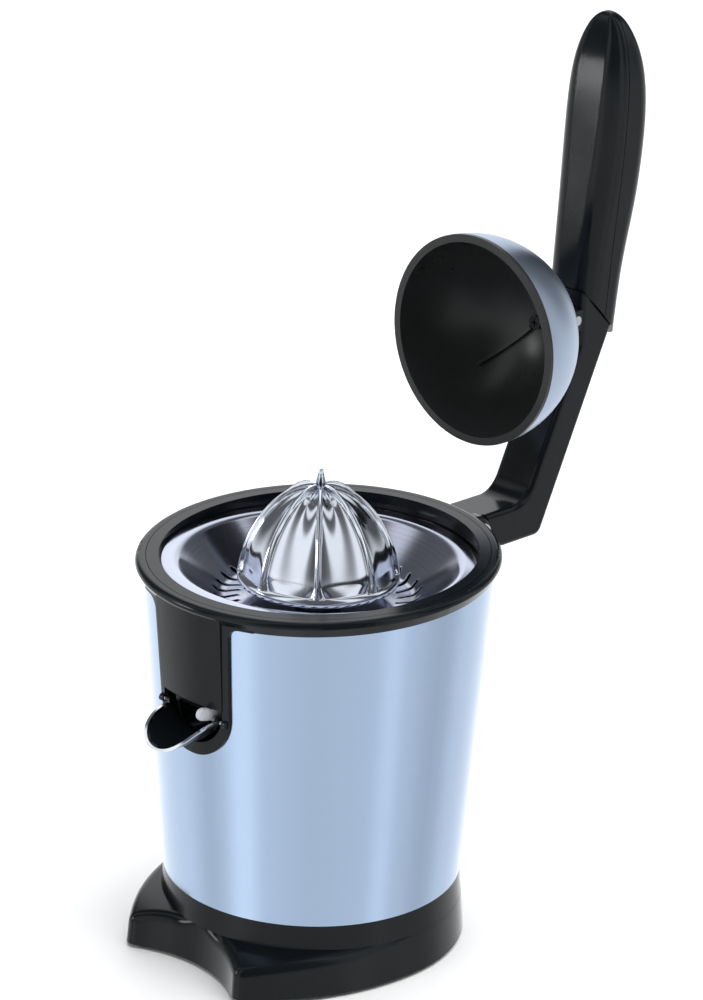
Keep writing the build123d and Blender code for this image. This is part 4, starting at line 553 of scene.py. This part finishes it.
def make_walls():
    """Soft studio walls that brighten and darken round the juicer, as it is seen from the camera."""
    world = bpy.data.worlds.new("studio")
    bpy.context.scene.world = world
    world.use_nodes = True
    tree = world.node_tree
    turned = tree.nodes.new("ShaderNodeVectorRotate")
    turned.rotation_type = "Z_AXIS"
    turned.inputs["Angle"].default_value = -CAMERA_TURN
    tree.links.new(tree.nodes.new("ShaderNodeTexCoord").outputs["Generated"], turned.inputs["Vector"])
    parts = tree.nodes.new("ShaderNodeSeparateXYZ")
    tree.links.new(turned.outputs[0], parts.inputs[0])
    x, y, z = parts.outputs
    around = math_node(tree, "ARCTAN2", x, math_node(tree, "MULTIPLY", y, -1.0))
    place = math_node(tree, "ADD", math_node(tree, "DIVIDE", around, 2 * math.pi), 0.5)
    rise = tree.nodes.new("ShaderNodeMapRange")
    rise.interpolation_type = "SMOOTHSTEP"
    rise.inputs["From Min"].default_value, rise.inputs["From Max"].default_value = WALL_BLEND
    tree.links.new(z, rise.inputs["Value"])
    walls = tree.nodes.new("ShaderNodeMix")
    walls.data_type = "RGBA"
    tree.links.new(rise.outputs["Result"], walls.inputs["Factor"])
    tree.links.new(wall_ramp(tree, place, LOW_WALL), walls.inputs["A"])
    tree.links.new(wall_ramp(tree, place, HIGH_WALL), walls.inputs["B"])
    room = tree.nodes["Background"]
    tree.links.new(walls.outputs["Result"], room.inputs["Color"])
    room.inputs["Strength"].default_value = WALL_LEVEL


def make_lamps():
    """Broad even light from above, left out of the reflections, and a small round light at the side."""
    above = bpy.data.lights.new("above", "SUN")
    above.energy = ABOVE_LEVEL
    above.angle = ABOVE_SPREAD
    lamp = bpy.data.objects.new("above", above)
    lamp.rotation_euler = (*ABOVE_LEAN, 0)
    lamp.visible_glossy = False
    bpy.context.scene.collection.objects.link(lamp)
    side = bpy.data.lights.new("side", "AREA")
    side.shape = "DISK"
    side.size = SIDE_SIZE
    side.energy = SIDE_LEVEL
    angle = CAMERA_TURN + SIDE_TURN
    lamp = bpy.data.objects.new("side", side)
    lamp.location = (SIDE_REACH * math.sin(angle), -SIDE_REACH * math.cos(angle), SIDE_HEIGHT)
    lamp.rotation_euler = (math.pi / 2, 0, angle)
    bpy.context.scene.collection.objects.link(lamp)


def make_camera():
    """Camera at the picture's place: turned round the axis, then yaw, pitch and roll."""
    forward = Vector((
        math.sin(CAMERA_YAW) * math.cos(CAMERA_PITCH),
        math.cos(CAMERA_YAW) * math.cos(CAMERA_PITCH),
        -math.sin(CAMERA_PITCH),
    ))
    right = forward.cross(Vector((0, 0, 1))).normalized()
    up = right.cross(forward)
    level = Matrix((right, up, -forward)).transposed()
    rolled = level @ Matrix.Rotation(CAMERA_ROLL, 3, "Z")
    spin = Matrix.Rotation(CAMERA_TURN, 3, "Z")
    camera = bpy.data.objects.new("camera", bpy.data.cameras.new("camera"))
    camera.data.lens = CAMERA_LENS
    camera.data.clip_end = CAMERA_FAR
    place = spin @ Vector((0, -CAMERA_DISTANCE, CAMERA_HEIGHT))
    camera.matrix_world = Matrix.Translation(place) @ (spin @ rolled).to_4x4()
    bpy.context.scene.collection.objects.link(camera)
    bpy.context.scene.camera = camera
    bpy.context.scene.view_settings.view_transform = "Standard"


finishes = make_finishes()
for name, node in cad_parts.items():
    for slot in node.material_slots:
        slot.material = finishes[OWN_FINISH.get(name, slot.material.name)]
for make, finish in ((make_fluted_cone, "cone_steel"), (make_drain_bowl, "bowl_steel")):
    make().data.materials.append(finishes[finish])
make_floor()
make_walls()
make_lamps()
make_camera()
